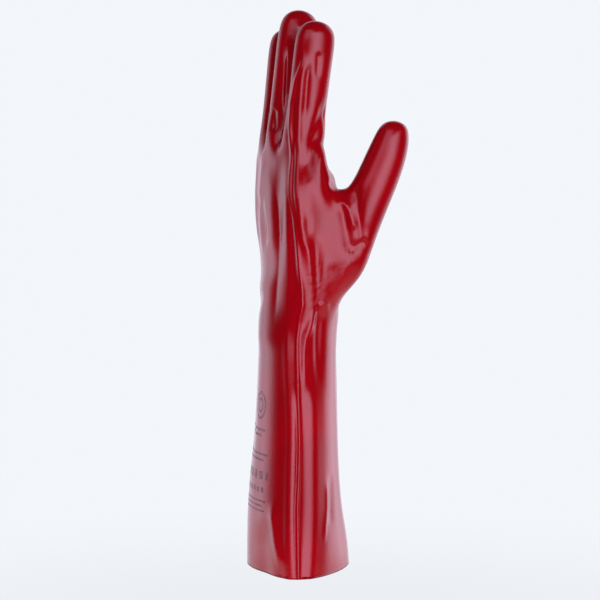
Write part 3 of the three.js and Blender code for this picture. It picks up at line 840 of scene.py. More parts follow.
# Folds that the photograph shows, from the index side.
PHOTO_FOLDS = (
    Fold("side seam", INDEX_SIDE, ((305, 48), (303, 60), (295.8, 80), (291.3, 103), (290, 126), (291.3, 149),
         (292.4, 179), (293, 197), (296.4, 219), (299, 246), (300.7, 268), (302.9, 289), (302.9, 305),
         (299.6, 322), (297.5, 339), (297.6, 363), (298, 388), (298.8, 413), (299.3, 454), (298.4, 483),
         (297.4, 508), (297.8, 533), (298.4, 590)), rise=0.9, spread=1.8, fade_in=0.04, fade_out=0),
    Fold("pressed edge of the cuff", HAND, ((300, 322), (297, 339), (296.6, 400), (297.2, 446),
         (296, 487), (295, 520), (296, 590)), rise=2.2, spread=11, fade_in=0.15, fade_out=0,
         profile=Profile.SHARP),
    Fold("crease beside the seam", HAND, ((297, 385), (296.6, 405), (297.2, 446), (296, 487), (295, 508),
         (295.2, 533), (296, 590)), rise=-0.8, spread=1.5, fade_out=0, profile=Profile.SHARP),
    Fold("ridge along the back of the seam", HAND, ((288, 320), (288, 350), (288.5, 375), (290, 395),
         (291.5, 430), (290, 480), (289, 530), (288.5, 590)), rise=1.0, spread=4.2, fade_in=0.1, fade_out=0),
    Fold("second ridge", INDEX_SIDE, ((307, 50), (301.6, 80), (299, 115), (298, 149), (299, 179),
         (299.6, 192), (302.9, 224), (305, 240), (309.4, 251), (311.5, 268), (313.7, 289), (313.7, 311),
         (309.4, 327), (305, 339), (303.8, 350), (303.5, 363), (305, 396)), rise=1.3, spread=3.0,
         fade_in=0.08, fade_out=0.1),
    Fold("hollow beside the seam of the cuff", HAND, ((300, 380), (301.5, 405), (302, 440), (302, 508),
         (301, 545), (300, 590)), rise=-1.2, spread=7.5, fade_in=0.1, fade_out=0),
    Fold("crest of the cuff's palm side", HAND, ((307, 385), (311, 405), (312.5, 440), (313, 508),
         (311.5, 545), (308, 590)), rise=1.3, spread=6, fade_in=0.1, fade_out=0),
    Fold("far side of that crest", HAND, ((318, 385), (322, 405), (324, 440), (324.5, 508),
         (322.5, 545), (318, 590)), rise=0.8, spread=10, fade_in=0.1, fade_out=0),
    Fold("channel along the thumb", HAND, ((314.5, 228), (316.5, 268), (318.5, 300), (318, 333),
         (318, 365), (320, 400)), rise=-1.8, spread=4.6, fade_in=0.15, fade_out=0.3),
    Fold("thin fold by the hem", HAND, ((325.5, 480), (325.8, 508), (324, 525), (323, 545)),
         rise=0.5, spread=1.8),
    Fold("soft hollow by the hem", HAND, ((330, 470), (330, 530)), rise=-0.8, spread=3.0),
    Fold("index tip dent", INDEX, ((318.5, 50), (318.5, 64), (317.5, 80)),
         rise=-1.2, spread=4.0, profile=Profile.SHARP),
    Fold("index wedge", INDEX, ((310, 60), (307.5, 80), (304.5, 120)),
         rise=-1.4, spread=4.2, profile=Profile.SHARP),
    Fold("index lower hollow", INDEX_SIDE, ((327, 92), (323, 115), (314, 138), (308, 165), (306, 185)),
         rise=-1.9, spread=5.6),
    Fold("index lower ridge", INDEX_SIDE, ((323, 140), (319, 165), (320, 190), (328, 215)),
         rise=1.2, spread=5.0),
    Fold("middle tip pad", MIDDLE, ((300, 20), (297, 54)), rise=0.8, spread=6.0),
    Fold("middle hollow", MIDDLE, ((289, 36), (287, 70), (285, 108)), rise=-1.2, spread=3.4),
    Fold("middle thin ridge", MIDDLE, ((284.5, 50), (283.5, 80), (282, 118)), rise=0.6, spread=1.8),
    Fold("web hollow between middle and ring", (Part.MIDDLE, Part.RING, Part.HAND),
         ((273, 106), (273.5, 120), (274, 134)), rise=-1.8, spread=4.0),
    Fold("flat back of the hand", HAND, ((278, 120), (277, 200), (273, 250), (264, 295)),
         rise=-1.7, spread=14, fade_out=0.4),
    Fold("side of the hand", INDEX_SIDE, ((297, 150), (300, 200), (302, 260), (300, 350)),
         rise=4.2, spread=17),
    Fold("low hollow on the back of the cuff", HAND, ((260, 515), (263, 590)),
         rise=-2.4, spread=10, fade_in=0.4, fade_out=0),
    Fold("slanting ridge on the back of the cuff", HAND, ((272, 500), (276, 540), (284, 575)),
         rise=1.6, spread=4.5),
    Fold("back of the wrist", HAND, ((264, 268), (265, 300), (266, 355)), rise=2.0, spread=11),
    Fold("outer tendon", HAND, ((267, 160), (269.5, 190), (270.5, 225), (271, 262)), rise=1.3, spread=5.6),
    Fold("inner tendon", HAND, ((286, 150), (288.5, 180), (289, 215), (289, 245), (287, 278)),
         rise=1.2, spread=6.0, fade_out=0.4),
    Fold("groove between the tendons", HAND, ((273.5, 178), (276, 210), (277.5, 238), (277.5, 270),
         (275, 330)), rise=-1.3, spread=4.0, profile=Profile.SHARP),
    Fold("outer groove", HAND, ((259, 190), (261, 215), (265, 250)), rise=-1.2, spread=2.8),
    Fold("hollow behind the seam", HAND, ((293, 165), (294, 205), (296, 245), (296, 285), (290, 318)),
         rise=-0.9, spread=3.2),
    Fold("hand side line", HAND, ((337.6, 190), (337.8, 218), (338, 246)), rise=0.5, spread=3.0),
    Fold("thenar arc", HAND, ((364, 248), (356, 258), (348, 266), (343, 280), (334, 302)),
         rise=1.6, spread=3.6),
    Fold("wrist ridge", HAND, ((324.6, 250), (323.5, 289), (325.6, 311), (330, 318)), rise=1.3, spread=3.4),
    Fold("wrist dimple", HAND, ((333, 284), (331, 312)), rise=-1.0, spread=3.8),
    Fold("hollow below the web", HAND, ((331, 176), (334, 195), (336, 214)), rise=-1.3, spread=4.0),
    Fold("web fold", THUMB_SIDE, ((341, 196), (348, 210), (355, 232)), rise=1.4, spread=3.6),
    Fold("crease left of the web fold", THUMB_SIDE, ((342, 202), (346, 225), (349, 245), (351, 258)),
         rise=-2.2, spread=6.0, profile=Profile.SHARP),
    Fold("crease along the thumb's root", THUMB_SIDE, ((353, 180), (357, 205), (361, 228), (365, 246)),
         rise=-2.0, spread=5.5, profile=Profile.SHARP),
    Fold("crease below the thumb", THUMB_SIDE, ((348, 254), (358, 247), (369, 240)),
         rise=-2.0, spread=6.5, profile=Profile.SHARP),
    Fold("small dent of the hand", HAND, ((308, 214), (308.5, 234)), rise=-0.7, spread=2.6),
    Fold("soft shade of the palm", HAND, ((333, 262), (331, 300)), rise=-0.9, spread=5.0),
    Fold("palm pad", HAND, ((4, 236), (24, 246)), rise=4.0, spread=8.5,
         fade_in=0.3, fade_out=0.0, side=Side.PALM),
    Fold("filled root of the index finger", INDEX_SIDE, ((30, 262), (33, 284)), rise=0.5, spread=9.0,
         side=Side.PALM),
)
# Folds of the sides that the photograph doesn't show, in millimetres.
OTHER_FOLDS = (
    Fold("outer hand tendon", HAND, ((-31, 264), (-18, 190)), rise=0.8, spread=4.5, side=Side.BACK),
    Fold("ring finger tendon", HAND, ((-11, 270), (-8, 195)), rise=0.8, spread=4.5, side=Side.BACK),
    Fold("middle finger tendon", HAND, ((11, 270), (6, 195)), rise=0.8, spread=4.5, side=Side.BACK),
    Fold("wrist hollow of the back", HAND, ((-26, 172), (0, 166), (22, 174)), rise=-0.9, spread=6,
         side=Side.BACK),
    Fold("long fold of the cuff's back", HAND, ((-30, 18), (-24, 90), (-20, 150)), rise=1.1, spread=8,
         side=Side.BACK),
    Fold("long hollow of the cuff's back", HAND, ((6, 60), (2, 110), (0, 158)), rise=-1.0, spread=8,
         side=Side.BACK),
    Fold("upper palm crease", HAND, ((-38, 238), (-18, 248), (8, 250)), rise=-0.9, spread=3.4,
         side=Side.PALM),
    Fold("lower palm crease", HAND, ((-34, 226), (-10, 232), (10, 238)), rise=-0.8, spread=3.4,
         side=Side.PALM),
    Fold("heel of the palm", HAND, ((-20, 200), (-24, 182)), rise=1.4, spread=11, side=Side.PALM),
    Fold("wrist crease of the palm", HAND, ((-28, 168), (0, 164), (24, 170)), rise=-1.0, spread=5,
         side=Side.PALM),
    Fold("long fold of the cuff's front", HAND, ((-26, 20), (-20, 90), (-14, 150)), rise=1.2, spread=8,
         side=Side.PALM),
    Fold("long hollow of the cuff's front", HAND, ((0, 14), (2, 80), (6, 150)), rise=-1.2, spread=9,
         side=Side.PALM),
    Fold("seam of the outer side", HAND, ((0, -5), (-0.5, 40), (-2, 90), (-1.5, 130), (-3.5, 165),
         (-6, 190), (-8, 225), (-8, 262)), rise=0.8, spread=1.8, fade_in=0, fade_out=0.1,
         side=Side.LITTLE),
    Fold("pressed edge of the outer side", HAND, ((0, -5), (-0.5, 40), (-2, 90), (-1.5, 160)), rise=1.6,
         spread=8, fade_in=0, fade_out=0.3, profile=Profile.SHARP, side=Side.LITTLE),
)
FOLDS = PHOTO_FOLDS + OTHER_FOLDS


class Patch(NamedTuple):
    """A smooth triangle mesh with its normals."""

    points: np.ndarray
    normals: np.ndarray
    triangles: np.ndarray


def split_long_edges(patch: Patch, near: np.ndarray, longest: float) -> Patch:
    """Halves the long edges near some points, and splits the triangles to match.

    Args:
        patch: the mesh.
        near: whether each point is one of them.
        longest: the longest edge that stays whole, in millimetres.

    Returns:
        A finer mesh in which the old points keep their numbers.
    """
    points, normals, triangles = patch
    pairs = np.sort(np.stack((triangles, np.roll(triangles, -1, axis=1)), axis=2).reshape(-1, 2), axis=1)
    edges, index = np.unique(pairs, axis=0, return_inverse=True)
    index = index.reshape(-1, 3)
    a, b = edges.T
    step = points[b, :3] - points[a, :3]
    on_hem = (points[a, 2] < HEM_BAND) & (points[b, 2] < HEM_BAND)
    chosen = (near[a] | near[b]) & (np.linalg.norm(step, axis=1) > longest) & ~on_hem
    a, b, step = a[chosen], b[chosen], step[chosen]
    made = (points[a] + points[b]) / 2
    bend_a = (step * normals[a]).sum(axis=1, keepdims=True)
    bend_b = (-step * normals[b]).sum(axis=1, keepdims=True)
    made[:, :3] -= (bend_a * normals[a] + bend_b * normals[b]) / 8
    number = np.full(len(edges), -1)
    number[chosen] = len(points) + np.arange(len(made))
    cut = number[index]
    count = (cut >= 0).sum(axis=1)
    found = [triangles[count == 0]]
    for n in range(3):
        p, q, r = (triangles[:, (n + k) % 3] for k in range(3))
        pq, qr, rp = (cut[:, (n + k) % 3] for k in range(3))
        one = (count == 1) & (pq >= 0)
        found += [np.stack((p, pq, r), axis=1)[one], np.stack((pq, q, r), axis=1)[one]]
        two = (count == 2) & (rp < 0)
        found += [np.stack(t, axis=1)[two] for t in ((pq, q, qr), (p, pq, qr), (p, qr, r))]
    whole = count == 3
    p, q, r = triangles[whole].T
    pq, qr, rp = cut[whole].T
    found += [np.stack(t, axis=1) for t in ((p, pq, rp), (pq, q, qr), (rp, qr, r), (pq, qr, rp))]
    all_normals = np.concatenate((normals, unit(normals[a] + normals[b])))
    return Patch(np.concatenate((points, made)), all_normals, np.concatenate(found))


@dataclass
class FoldedSurface:
    """The coat's outside: the form smoothed to a fine mesh, with its folds raised.

    Args:
        form: the glove's form.
        view: the photograph's view, in which some folds are drawn.
        folds: the folds.
        steps: the smoothing steps.
        fine_spread: folds that spread less than this, in millimetres, get a finer mesh.
        fine_edge: the longest edge there.
        fine_relief: how high such a fold is, in millimetres, where the finer mesh begins.
        lining_rings: the inner surfaces keep clear of the lowest relief within so many rings.
        outside: the fine outside, which build makes.
        hem: the points of its open edge, in order.
        coarse: the coarser surface that the inner surfaces are moved in from.
    """

    form: GloveForm
    view: PhotoView
    folds: tuple[Fold, ...]
    steps: int = 3
    fine_spread: float = 1.6
    fine_edge: float = 0.55
    fine_relief: float = 0.02
    lining_rings: int = 2
    outside: Cage = field(init=False)
    hem: list[int] = field(init=False)
    coarse: Cage = field(init=False)

    def build(self) -> None:
        """Makes the fine outside and the coarser faces that the inner surfaces use."""
        level = self.form.cage()
        for _ in range(self.steps - 1):
            level = level.subdivided()
        fine = level.subdivided()
        quads = fine.faces
        triangles = np.concatenate((quads[:, (0, 1, 2)], quads[:, (0, 2, 3)]))
        patch = Patch(fine.points, fine.normals(), triangles)
        near = np.abs(self._relief(patch, self.fine_spread)) > self.fine_relief
        patch = split_long_edges(patch, near, self.fine_edge)
        relief = self._relief(patch)
        self.outside = Cage(self._raised(patch, relief), patch.triangles)
        self.hem = fine.hem()
        lowest = relief[: len(fine.points)].copy()
        for _ in range(self.lining_rings):
            around = lowest[quads].min(axis=1)
            np.minimum.at(lowest, quads.ravel(), np.repeat(around, 4))
        relief[: len(lowest)] = lowest
        self.coarse = Cage(self._raised(patch, relief)[: len(level.points)], level.faces)

    @staticmethod
    def _raised(patch: Patch, relief: np.ndarray) -> np.ndarray:
        """Raises a mesh's points.

        Args:
            patch: the smooth mesh.
            relief: the rise of each point, in millimetres.

        Returns:
            The raised points, with the hem kept at its height.
        """
        points = patch.points.copy()
        points[:, :3] += patch.normals * relief[:, None]
        points[patch.points[:, 2] < HEM_BAND, 2] = 0
        return points

    def _drawn_from(self, side: Side, patch: Patch) -> tuple[np.ndarray, np.ndarray]:
        """Where points are in a side's drawing.

        Args:
            side: the side that the drawing is made from.
            patch: the smooth mesh.

        Returns:
            The points' places in the drawing, and how much each faces it, from 0 to 1.
        """
        places = patch.points[:, :3]
        if side is Side.PHOTO:
            facing = (patch.normals * self.view.towards(places)).sum(axis=1)
            return self.view.pixels(places), smooth_step(facing, *PHOTO_FACING)
        if side is Side.LITTLE:
            return places[:, (1, 2)], smooth_step(-patch.normals[:, 0], *FLAT_FACING)
        sign = -1 if side is Side.BACK else 1
        return places[:, (0, 2)], smooth_step(sign * patch.normals[:, 1], *FLAT_FACING)

    def _relief(self, patch: Patch, narrower: float = math.inf) -> np.ndarray:
        """How far the folds raise each point.

        Args:
            patch: the smooth mesh.
            narrower: only folds that spread less than this count, in millimetres.

        Returns:
            The rise of each point, in millimetres.
        """
        total = np.zeros(len(patch.points))
        drawings = {side: self._drawn_from(side, patch) for side in Side}
        for fold in self.folds:
            unit_size = self.view.scale if fold.side is Side.PHOTO else 1
            if fold.spread * unit_size < narrower:
                seen, facing = drawings[fold.side]
                belongs = patch.points[:, [part.value for part in fold.parts]].sum(axis=1)
                raised = fold.height(seen) * facing * belongs
                log.debug("%s: from %.2f to %.2f mm", fold.name, raised.min(), raised.max())
                total += raised
        return total


class Socket:
    """A value inside a shader, on which sums are written as Python expressions."""

    def __init__(self, shader: "Shader", link: bpy.types.NodeSocket) -> None:
        """Wraps an output socket of a shader's node."""
        self.shader = shader
        self.link = link

    def _math(self, operation: str, *values: "Value") -> "Socket":
        """A Math node's result."""
        inputs = dict(enumerate(values))
        return self.shader.node("ShaderNodeMath", {"operation": operation}, inputs)

    def __add__(self, other: "Value") -> "Socket":
        """self + other."""
        return self._math("ADD", self, other)

    def __radd__(self, other: "Value") -> "Socket":
        """other + self."""
        return self._math("ADD", other, self)

    def __sub__(self, other: "Value") -> "Socket":
        """self - other."""
        return self._math("SUBTRACT", self, other)

    def __rsub__(self, other: "Value") -> "Socket":
        """other - self."""
        return self._math("SUBTRACT", other, self)

    def __mul__(self, other: "Value") -> "Socket":
        """self * other."""
        return self._math("MULTIPLY", self, other)

    def __rmul__(self, other: "Value") -> "Socket":
        """other * self."""
        return self._math("MULTIPLY", other, self)

    def __truediv__(self, other: "Value") -> "Socket":
        """self / other."""
        return self._math("DIVIDE", self, other)

    def __pow__(self, other: "Value") -> "Socket":
        """self to a power."""
        return self._math("POWER", self, other)

    def __lt__(self, other: "Value") -> "Socket":
        """1 where self is less than other, else 0."""
        return self._math("LESS_THAN", self, other)

    def __abs__(self) -> "Socket":
        """The size of self without its sign."""
        return self._math("ABSOLUTE", self)

    def fraction(self) -> "Socket":
        """The part of self after its whole number."""
        return self._math("FRACT", self)

    def sine(self) -> "Socket":
        """The sine of self, in radians."""
        return self._math("SINE", self)

    def minimum(self, other: "Value") -> "Socket":
        """The lesser of the two."""
        return self._math("MINIMUM", self, other)

    def maximum(self, other: "Value") -> "Socket":
        """The greater of the two."""
        return self._math("MAXIMUM", self, other)


Value = Union[Socket, float, tuple]


class Shader:
    """A material's or the world's nodes."""

    def __init__(self, tree: bpy.types.NodeTree) -> None:
        """Empties a node tree and takes it over."""
        self.tree = tree
        tree.nodes.clear()

    def node(self, kind: str, settings: Optional[dict] = None, inputs: Optional[dict] = None,
             output: Union[int, str] = 0) -> Socket:
        """Adds a node.

        Args:
            kind: the node's type.
            settings: what is set on the node first.
            inputs: a value or a Socket for each input, by name or number.
            output: the output that is returned.

        Returns:
            The output as a Socket.
        """
        made = self.tree.nodes.new(kind)
        for name, value in (settings or {}).items():
            setattr(made, name, value)
        for name, value in (inputs or {}).items():
            if isinstance(value, Socket):
                self.tree.links.new(value.link, made.inputs[name])
            else:
                made.inputs[name].default_value = value
        return Socket(self, made.outputs[output])

    def attribute(self, name: str) -> Socket:
        """A number that the mesh keeps at each point."""
        return self.node("ShaderNodeAttribute", {"attribute_name": name}, output="Fac")

    def place(self) -> tuple[Socket, Socket, Socket]:
        """X, Y and Z of the point in the piece's own frame, in metres."""
        vector = self.node("ShaderNodeTexCoord", output="Object")
        return tuple(self.node("ShaderNodeSeparateXYZ", {}, {0: vector}, axis) for axis in "XYZ")

    def noise(self, scale: float, detail: float = 2.0, roughness: float = 0.5,
              stretch: tuple = (1, 1, 1)) -> Socket:
        """Soft noise.

        Args:
            scale: its cells in one metre.
            detail: its octaves.
            roughness: how strong the finer ones are.
            stretch: a factor for each axis.

        Returns:
            A value about 0.5.
        """
        vector = self.node("ShaderNodeTexCoord", output="Object")
        vector = self.node("ShaderNodeVectorMath", {"operation": "MULTIPLY"}, {0: vector, 1: stretch})
        inputs = {"Vector": vector, "Scale": scale, "Detail": detail, "Roughness": roughness}
        return self.node("ShaderNodeTexNoise", {}, inputs)

    def between(self, value: Value, low: float, high: float) -> Socket:
        """A smooth step.

        Args:
            value: what is stepped.
            low: where the step begins.
            high: where it ends.

        Returns:
            0 below low, 1 above high, and smooth between.
        """
        settings = {"interpolation_type": "SMOOTHSTEP"}
        inputs = {"Value": value, "From Min": low, "From Max": high}
        return self.node("ShaderNodeMapRange", settings, inputs)

    def mix(self, share: Value, first: Value, second: Value) -> Socket:
        """A colour between two.

        Args:
            share: how much of the second colour there is.
            first: the first colour.
            second: the second colour.

        Returns:
            The colour.
        """
        settings = {"data_type": "RGBA"}
        inputs = {0: share, 6: colour(first), 7: colour(second)}
        return self.node("ShaderNodeMix", settings, inputs, output=2)

    def bump(self, height: Socket, distance: float) -> Socket:
        """A normal bent by a height, which distance turns into metres."""
        return self.node("ShaderNodeBump", {}, {"Height": height, "Distance": distance})


def colour(value: Value) -> Value:
    """A colour's three numbers as the four that a socket takes; a Socket stays as it is."""
    return (*value, 1.0) if isinstance(value, tuple) and len(value) == 3 else value


class InkRing(NamedTuple):
    """A printed ring: its middle above the hem and aside, its radius and its line, in millimetres."""

    middle: float
    aside: float
    radius: float
    line: float


class InkBar(NamedTuple):
    """A printed bar: its middle above the hem, its height and half of its width, in millimetres."""

    middle: float
    height: float
    half_width: float


class InkSquares(NamedTuple):
    """A printed row of squares: its middle, their size and pitch, and half of the row's width."""

    middle: float
    size: float
    pitch: float
    half_width: float


INK_RINGS = (
    InkRing(middle=104, aside=16, radius=8, line=1.8),
    InkRing(middle=104, aside=16, radius=4.2, line=1.5),
)
INK_BARS = (
    InkBar(middle=89, height=1.5, half_width=26),
    InkBar(middle=85.5, height=1.5, half_width=21),
    InkBar(middle=74, height=1.5, half_width=31),
    InkBar(middle=70.5, height=1.5, half_width=27),
    InkBar(middle=45, height=1.1, half_width=33),
    InkBar(middle=42, height=1.1, half_width=29),
    InkBar(middle=39, height=1.1, half_width=32),
)
INK_SQUARES = (
    InkSquares(middle=61, size=5.2, pitch=8.4, half_width=33),
    InkSquares(middle=52, size=3.4, pitch=5.6, half_width=31),
)


@dataclass(frozen=True)
class PrintedMarks:
    """Faded grey marks printed on the back of the cuff: a ring, bars and rows of small squares.

    Args:
        middle_x: the middle of the bars and rows, in millimetres towards the index side.
        back: ink lies only where Y is less than this, in metres.
        strength: how dark the ink is, from 0 to 1.
        faintest: the ink's share where it is worn most.
    """

    middle_x: float = 8.0
    back: float = -0.006
    strength: float = 0.72
    faintest: float = 0.35

    def mask(self, shader: Shader) -> Socket:
        """1 where ink lies and 0 elsewhere.

        Args:
            shader: the shader to work in.

        Returns:
            The mask, faded and worn.
        """
        x, y, z = shader.place()
        u = x / MM - self.middle_x
        v = z / MM

        def ring(mark: InkRing) -> Socket:
            """A round line."""
            away = ((u - mark.aside) ** 2 + (v - mark.middle) ** 2) ** 0.5
            return abs(away - mark.radius) < mark.line / 2

        def bar(mark: InkBar) -> Socket:
            """A filled bar."""
            return (abs(u) < mark.half_width) * (abs(v - mark.middle) < mark.height / 2)

        def squares(mark: InkSquares) -> Socket:
            """A row of small squares."""
            cell = abs((u / mark.pitch + 0.5).fraction() - 0.5) < mark.size / mark.pitch / 2
            return cell * (abs(v - mark.middle) < mark.size / 2) * (abs(u) < mark.half_width)

        shapes = [ring(mark) for mark in INK_RINGS]
        shapes += [bar(mark) for mark in INK_BARS]
        shapes += [squares(mark) for mark in INK_SQUARES]
        ink = shapes[0]
        for shape in shapes[1:]:
            ink = ink.maximum(shape)
        wear = shader.between(shader.noise(scale=900, detail=3.0, roughness=0.7), low=0.36, high=0.6)
        return ink * (y < self.back) * (self.faintest + wear * (1 - self.faintest)) * self.strength


@dataclass(frozen=True)
class GlossyPvc:
    """Smooth red PVC dip coat: glossy, with faint orange peel and the knit below it just showing.

    Args:
        red: the colour of most of the coat.
        deep_red: its colour in soft, darker clouds.
        ink: the printed marks' colour.
        specular: the tint of its reflections.
        roughness: the mean roughness of the bare coat.
        uneven: how much the roughness varies.
        ink_roughness: what the ink adds to it.
        knit_share: how much the knit shows in the surface, against the orange peel.
        relief: the height of that surface, in metres.
    """

    red: tuple = (0.46, 0.0006, 0.006)
    deep_red: tuple = (0.39, 0.0005, 0.005)
    ink: tuple = (0.035, 0.022, 0.032)
    specular: tuple = (1.0, 0.9, 1.0)
    roughness: float = 0.16
    uneven: float = 0.06
    ink_roughness: float = 0.5
    knit_share: float = 0.12
    relief: float = 0.00005

    def material(self, marks: PrintedMarks) -> bpy.types.Material:
        """The coat's material.

        Args:
            marks: the print on the cuff.

        Returns:
            The material.
        """
        made = bpy.data.materials.new("glossy_pvc")
        made.use_nodes = True
        shader = Shader(made.node_tree)
        cloud = shader.noise(scale=28)
        tint = shader.mix(shader.between(cloud, low=0.35, high=0.7), self.deep_red, self.red)
        ink = marks.mask(shader)
        base = shader.mix(ink, tint, self.ink)
        grease = shader.noise(scale=70, detail=3.0, roughness=0.6, stretch=(1, 1, 0.4))
        rough = self.roughness + (grease - 0.5) * self.uneven + ink * self.ink_roughness
        peel = shader.noise(scale=420, detail=1.5, roughness=0.4)
        knit = shader.noise(scale=1500, stretch=(1, 1, 0.6))
        normal = shader.bump(peel + knit * self.knit_share, self.relief)
        surface = shader.node("ShaderNodeBsdfPrincipled", {}, {
            "Base Color": base,
            "Roughness": rough,
            "IOR": 1.5,
            "Specular Tint": colour(self.specular),
            "Normal": normal,
        })
        finish_material(shader, surface)
        return made


def finish_material(shader: Shader, surface: Socket) -> None:
    """Joins a surface to the output of its shader."""
    output = shader.tree.nodes.new("ShaderNodeOutputMaterial")
    shader.tree.links.new(surface.link, output.inputs["Surface"])


@dataclass(frozen=True)
class KnittedCotton:
    """Off-white knitted cotton: columns of small loops, soft and matt, with painted shade between the loops.

    Args:
        yarn: the yarn's colour.
        shade: the yarn's colour darkened as painted shade between the loops, where the relief is low.
        column: the width of one column of loops, in millimetres.
        course: the height of one loop.
        slant: how many courses a loop drops for each column's width away from its middle.
        loop_share: the loops' share of the relief; the columns have the rest.
        relief: the height of that relief, in metres.
        fuzz_tint: how much the yarn's fuzz changes its colour.
        fuzz_relief: and how much it adds to the relief.
    """

    yarn: tuple = (0.74, 0.62, 0.58)
    shade: tuple = (0.42, 0.30, 0.29)
    column: float = 1.5
    course: float = 1.1
    slant: float = 1.4
    loop_share: float = 0.35
    relief: float = 0.0003
    fuzz_tint: float = 0.6
    fuzz_relief: float = 0.3

    def material(self) -> bpy.types.Material:
        """The lining's material.

        Returns:
            The material, which reads the number around of each of the mesh's points.
        """
        made = bpy.data.materials.new("knitted_cotton")
        made.use_nodes = True
        shader = Shader(made.node_tree)
        around = shader.attribute("around") / self.column
        up = shader.place()[2] / MM / self.course
        beside = abs(around.fraction() - 0.5)
        loops = ((up + beside * self.slant) * (2 * math.pi)).sine()
        height = loops * self.loop_share + (1 - beside * 2) * (1 - self.loop_share)
        fuzz = shader.noise(scale=2600, detail=3.0, roughness=0.7)
        # The yarn is painted darker where the relief is low, as painted shade between the loops, with random
        # tone from the fuzz.
        lit = shader.between(height + (fuzz - 0.5) * self.fuzz_tint, low=-0.1, high=0.8)
        tint = shader.mix(lit, self.shade, self.yarn)
        surface = shader.node("ShaderNodeBsdfPrincipled", {}, {
            "Base Color": tint,
            "Roughness": 0.92,
            "Normal": shader.bump(height + fuzz * self.fuzz_relief, self.relief),
            "Sheen Weight": 0.25,
        })
        finish_material(shader, surface)
        return made


def write_mesh(
    name: str, points: np.ndarray, faces: list[list[int]], material: bpy.types.Material,
    numbers: Optional[dict[str, np.ndarray]] = None,
) -> bpy.types.Object:
    """Makes a smooth mesh piece.

    Args:
        name: the piece's name.
        points: its points, in millimetres.
        faces: lists of point numbers.
        material: its material.
        numbers: named values, one for each point.

    Returns:
        The new object.
    """
    mesh = bpy.data.meshes.new(name)
    mesh.from_pydata((points * MM).tolist(), [], faces)
    mesh.materials.append(material)
    mesh.polygons.foreach_set("use_smooth", [True] * len(mesh.polygons))
    for label, values in (numbers or {}).items():
        layer = mesh.attributes.new(label, "FLOAT", "POINT")
        layer.data.foreach_set("value", np.asarray(values, np.float32))
    mesh.update()
    piece = bpy.data.objects.new(name, mesh)
    bpy.context.scene.collection.objects.link(piece)
    return piece


def closed_wall(
    outside: Cage, outside_hem: list[int], inside: Cage, inside_hem: list[int], drop: float, lips: int = 3
) -> tuple[np.ndarray, list[list[int]]]:
    """A closed wall with a rounded edge at the hem.

    Args:
        outside: the outer surface.
        outside_hem: the points of its hem, in order.
        inside: the inner surface.
        inside_hem: the points of its hem, as many or a whole share of them.
        drop: how far the rounded edge hangs below the hem.
        lips: the loops of the rounded edge.

    Returns:
        The wall's points and faces.
    """
    ratio = len(outside_hem) // len(inside_hem)
    shift = len(outside.points)
    rim = outside.points[outside_hem, :3]
    targets = inside.points[inside_hem + inside_hem[:1], :3]
    spread = np.arange(len(outside_hem)) / ratio
    across = np.stack([np.interp(spread, np.arange(len(targets)), axis) for axis in targets.T], axis=1)
    points = [outside.points[:, :3], inside.points[:, :3]]
    faces = outside.faces.tolist() + (inside.faces[:, ::-1] + shift).tolist()
    last = outside_hem
    count = shift + len(inside.points)
    for n in range(1, lips + 1):
        angle = math.pi * n / (lips + 1)
        loop = rim + (across - rim) * (1 - math.cos(angle)) / 2
        loop[:, 2] -= drop * math.sin(angle)
        points.append(loop)
        here = list(range(count, count + len(loop)))
        for start, end, low_start, low_end in zip(last, last[1:] + last[:1], here, here[1:] + here[:1]):
            faces.append([start, end, low_end, low_start])
        last = here
        count += len(loop)
    for n, start in enumerate(inside_hem):
        end = inside_hem[(n + 1) % len(inside_hem)]
        near = [last[(n * ratio + step) % len(last)] for step in range(ratio + 1)]
        faces += [[start + shift, b, a] for a, b in zip(near, near[1:])]
        faces.append([start + shift, end + shift, near[-1]])
    return np.concatenate(points), faces


def inwards(surface: Cage, depth: float) -> Cage:
    """Moves a surface inwards.

    Args:
        surface: the surface.
        depth: how far it moves, in millimetres.

    Returns:
        The moved surface, with its hem kept at its height.
    """
    points = surface.points.copy()
    hem = points[:, 2] < HEM_BAND
    points[:, :3] -= surface.normals() * depth
    points[hem, 2] = 0
    return Cage(points, surface.faces)


@dataclass
class PvcCoat:
    """The red PVC coat, the glove's smooth outside.

    Args:
        surface: the folded outside.
        wall: the coat's thickness.
        lip: how far its rounded edge hangs below the hem.
    """

    surface: FoldedSurface
    wall: float = 1.1
    lip: float = 0.35

    def build(self) -> bpy.types.Object:
        """Makes the coat.

        Returns:
            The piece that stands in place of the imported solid.
        """
        inside = inwards(self.surface.coarse, self.wall)
        points, faces = closed_wall(
            self.surface.outside, self.surface.hem, inside, inside.hem(), drop=self.lip
        )
        piece = write_mesh("coat", points, faces, GlossyPvc().material(PrintedMarks()))
        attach(piece, "root")
        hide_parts("pvc_coat")
        return piece


@dataclass
class CottonLining:
    """The knitted cotton that the coat was dipped on; its edge shows at the hem.

    Args:
        surface: the coat's folded outside.
        depth: how far its outside lies below the coat's outside.
        wall: the knit's thickness.
        lip: how far its rounded edge hangs below the hem.
        radius: the cuff's mean radius, by which an angle becomes a length round it.
    """

    surface: FoldedSurface
    depth: float = 1.25
    wall: float = 0.9
    lip: float = 0.8
    radius: float = 40.0

    def build(self) -> bpy.types.Object:
        """Makes the lining.

        Returns:
            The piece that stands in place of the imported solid.
        """
        outer = inwards(self.surface.coarse, self.depth)
        inner = inwards(self.surface.coarse, self.depth + self.wall)
        hem = outer.hem()
        points, faces = closed_wall(outer, hem, inner, hem, drop=self.lip)
        around = np.arctan2(points[:, 1], points[:, 0]) * self.radius
        piece = write_mesh("lining", points, faces, KnittedCotton().material(), {"around": around})
        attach(piece, "root")
        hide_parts("cotton_lining")
        return piece


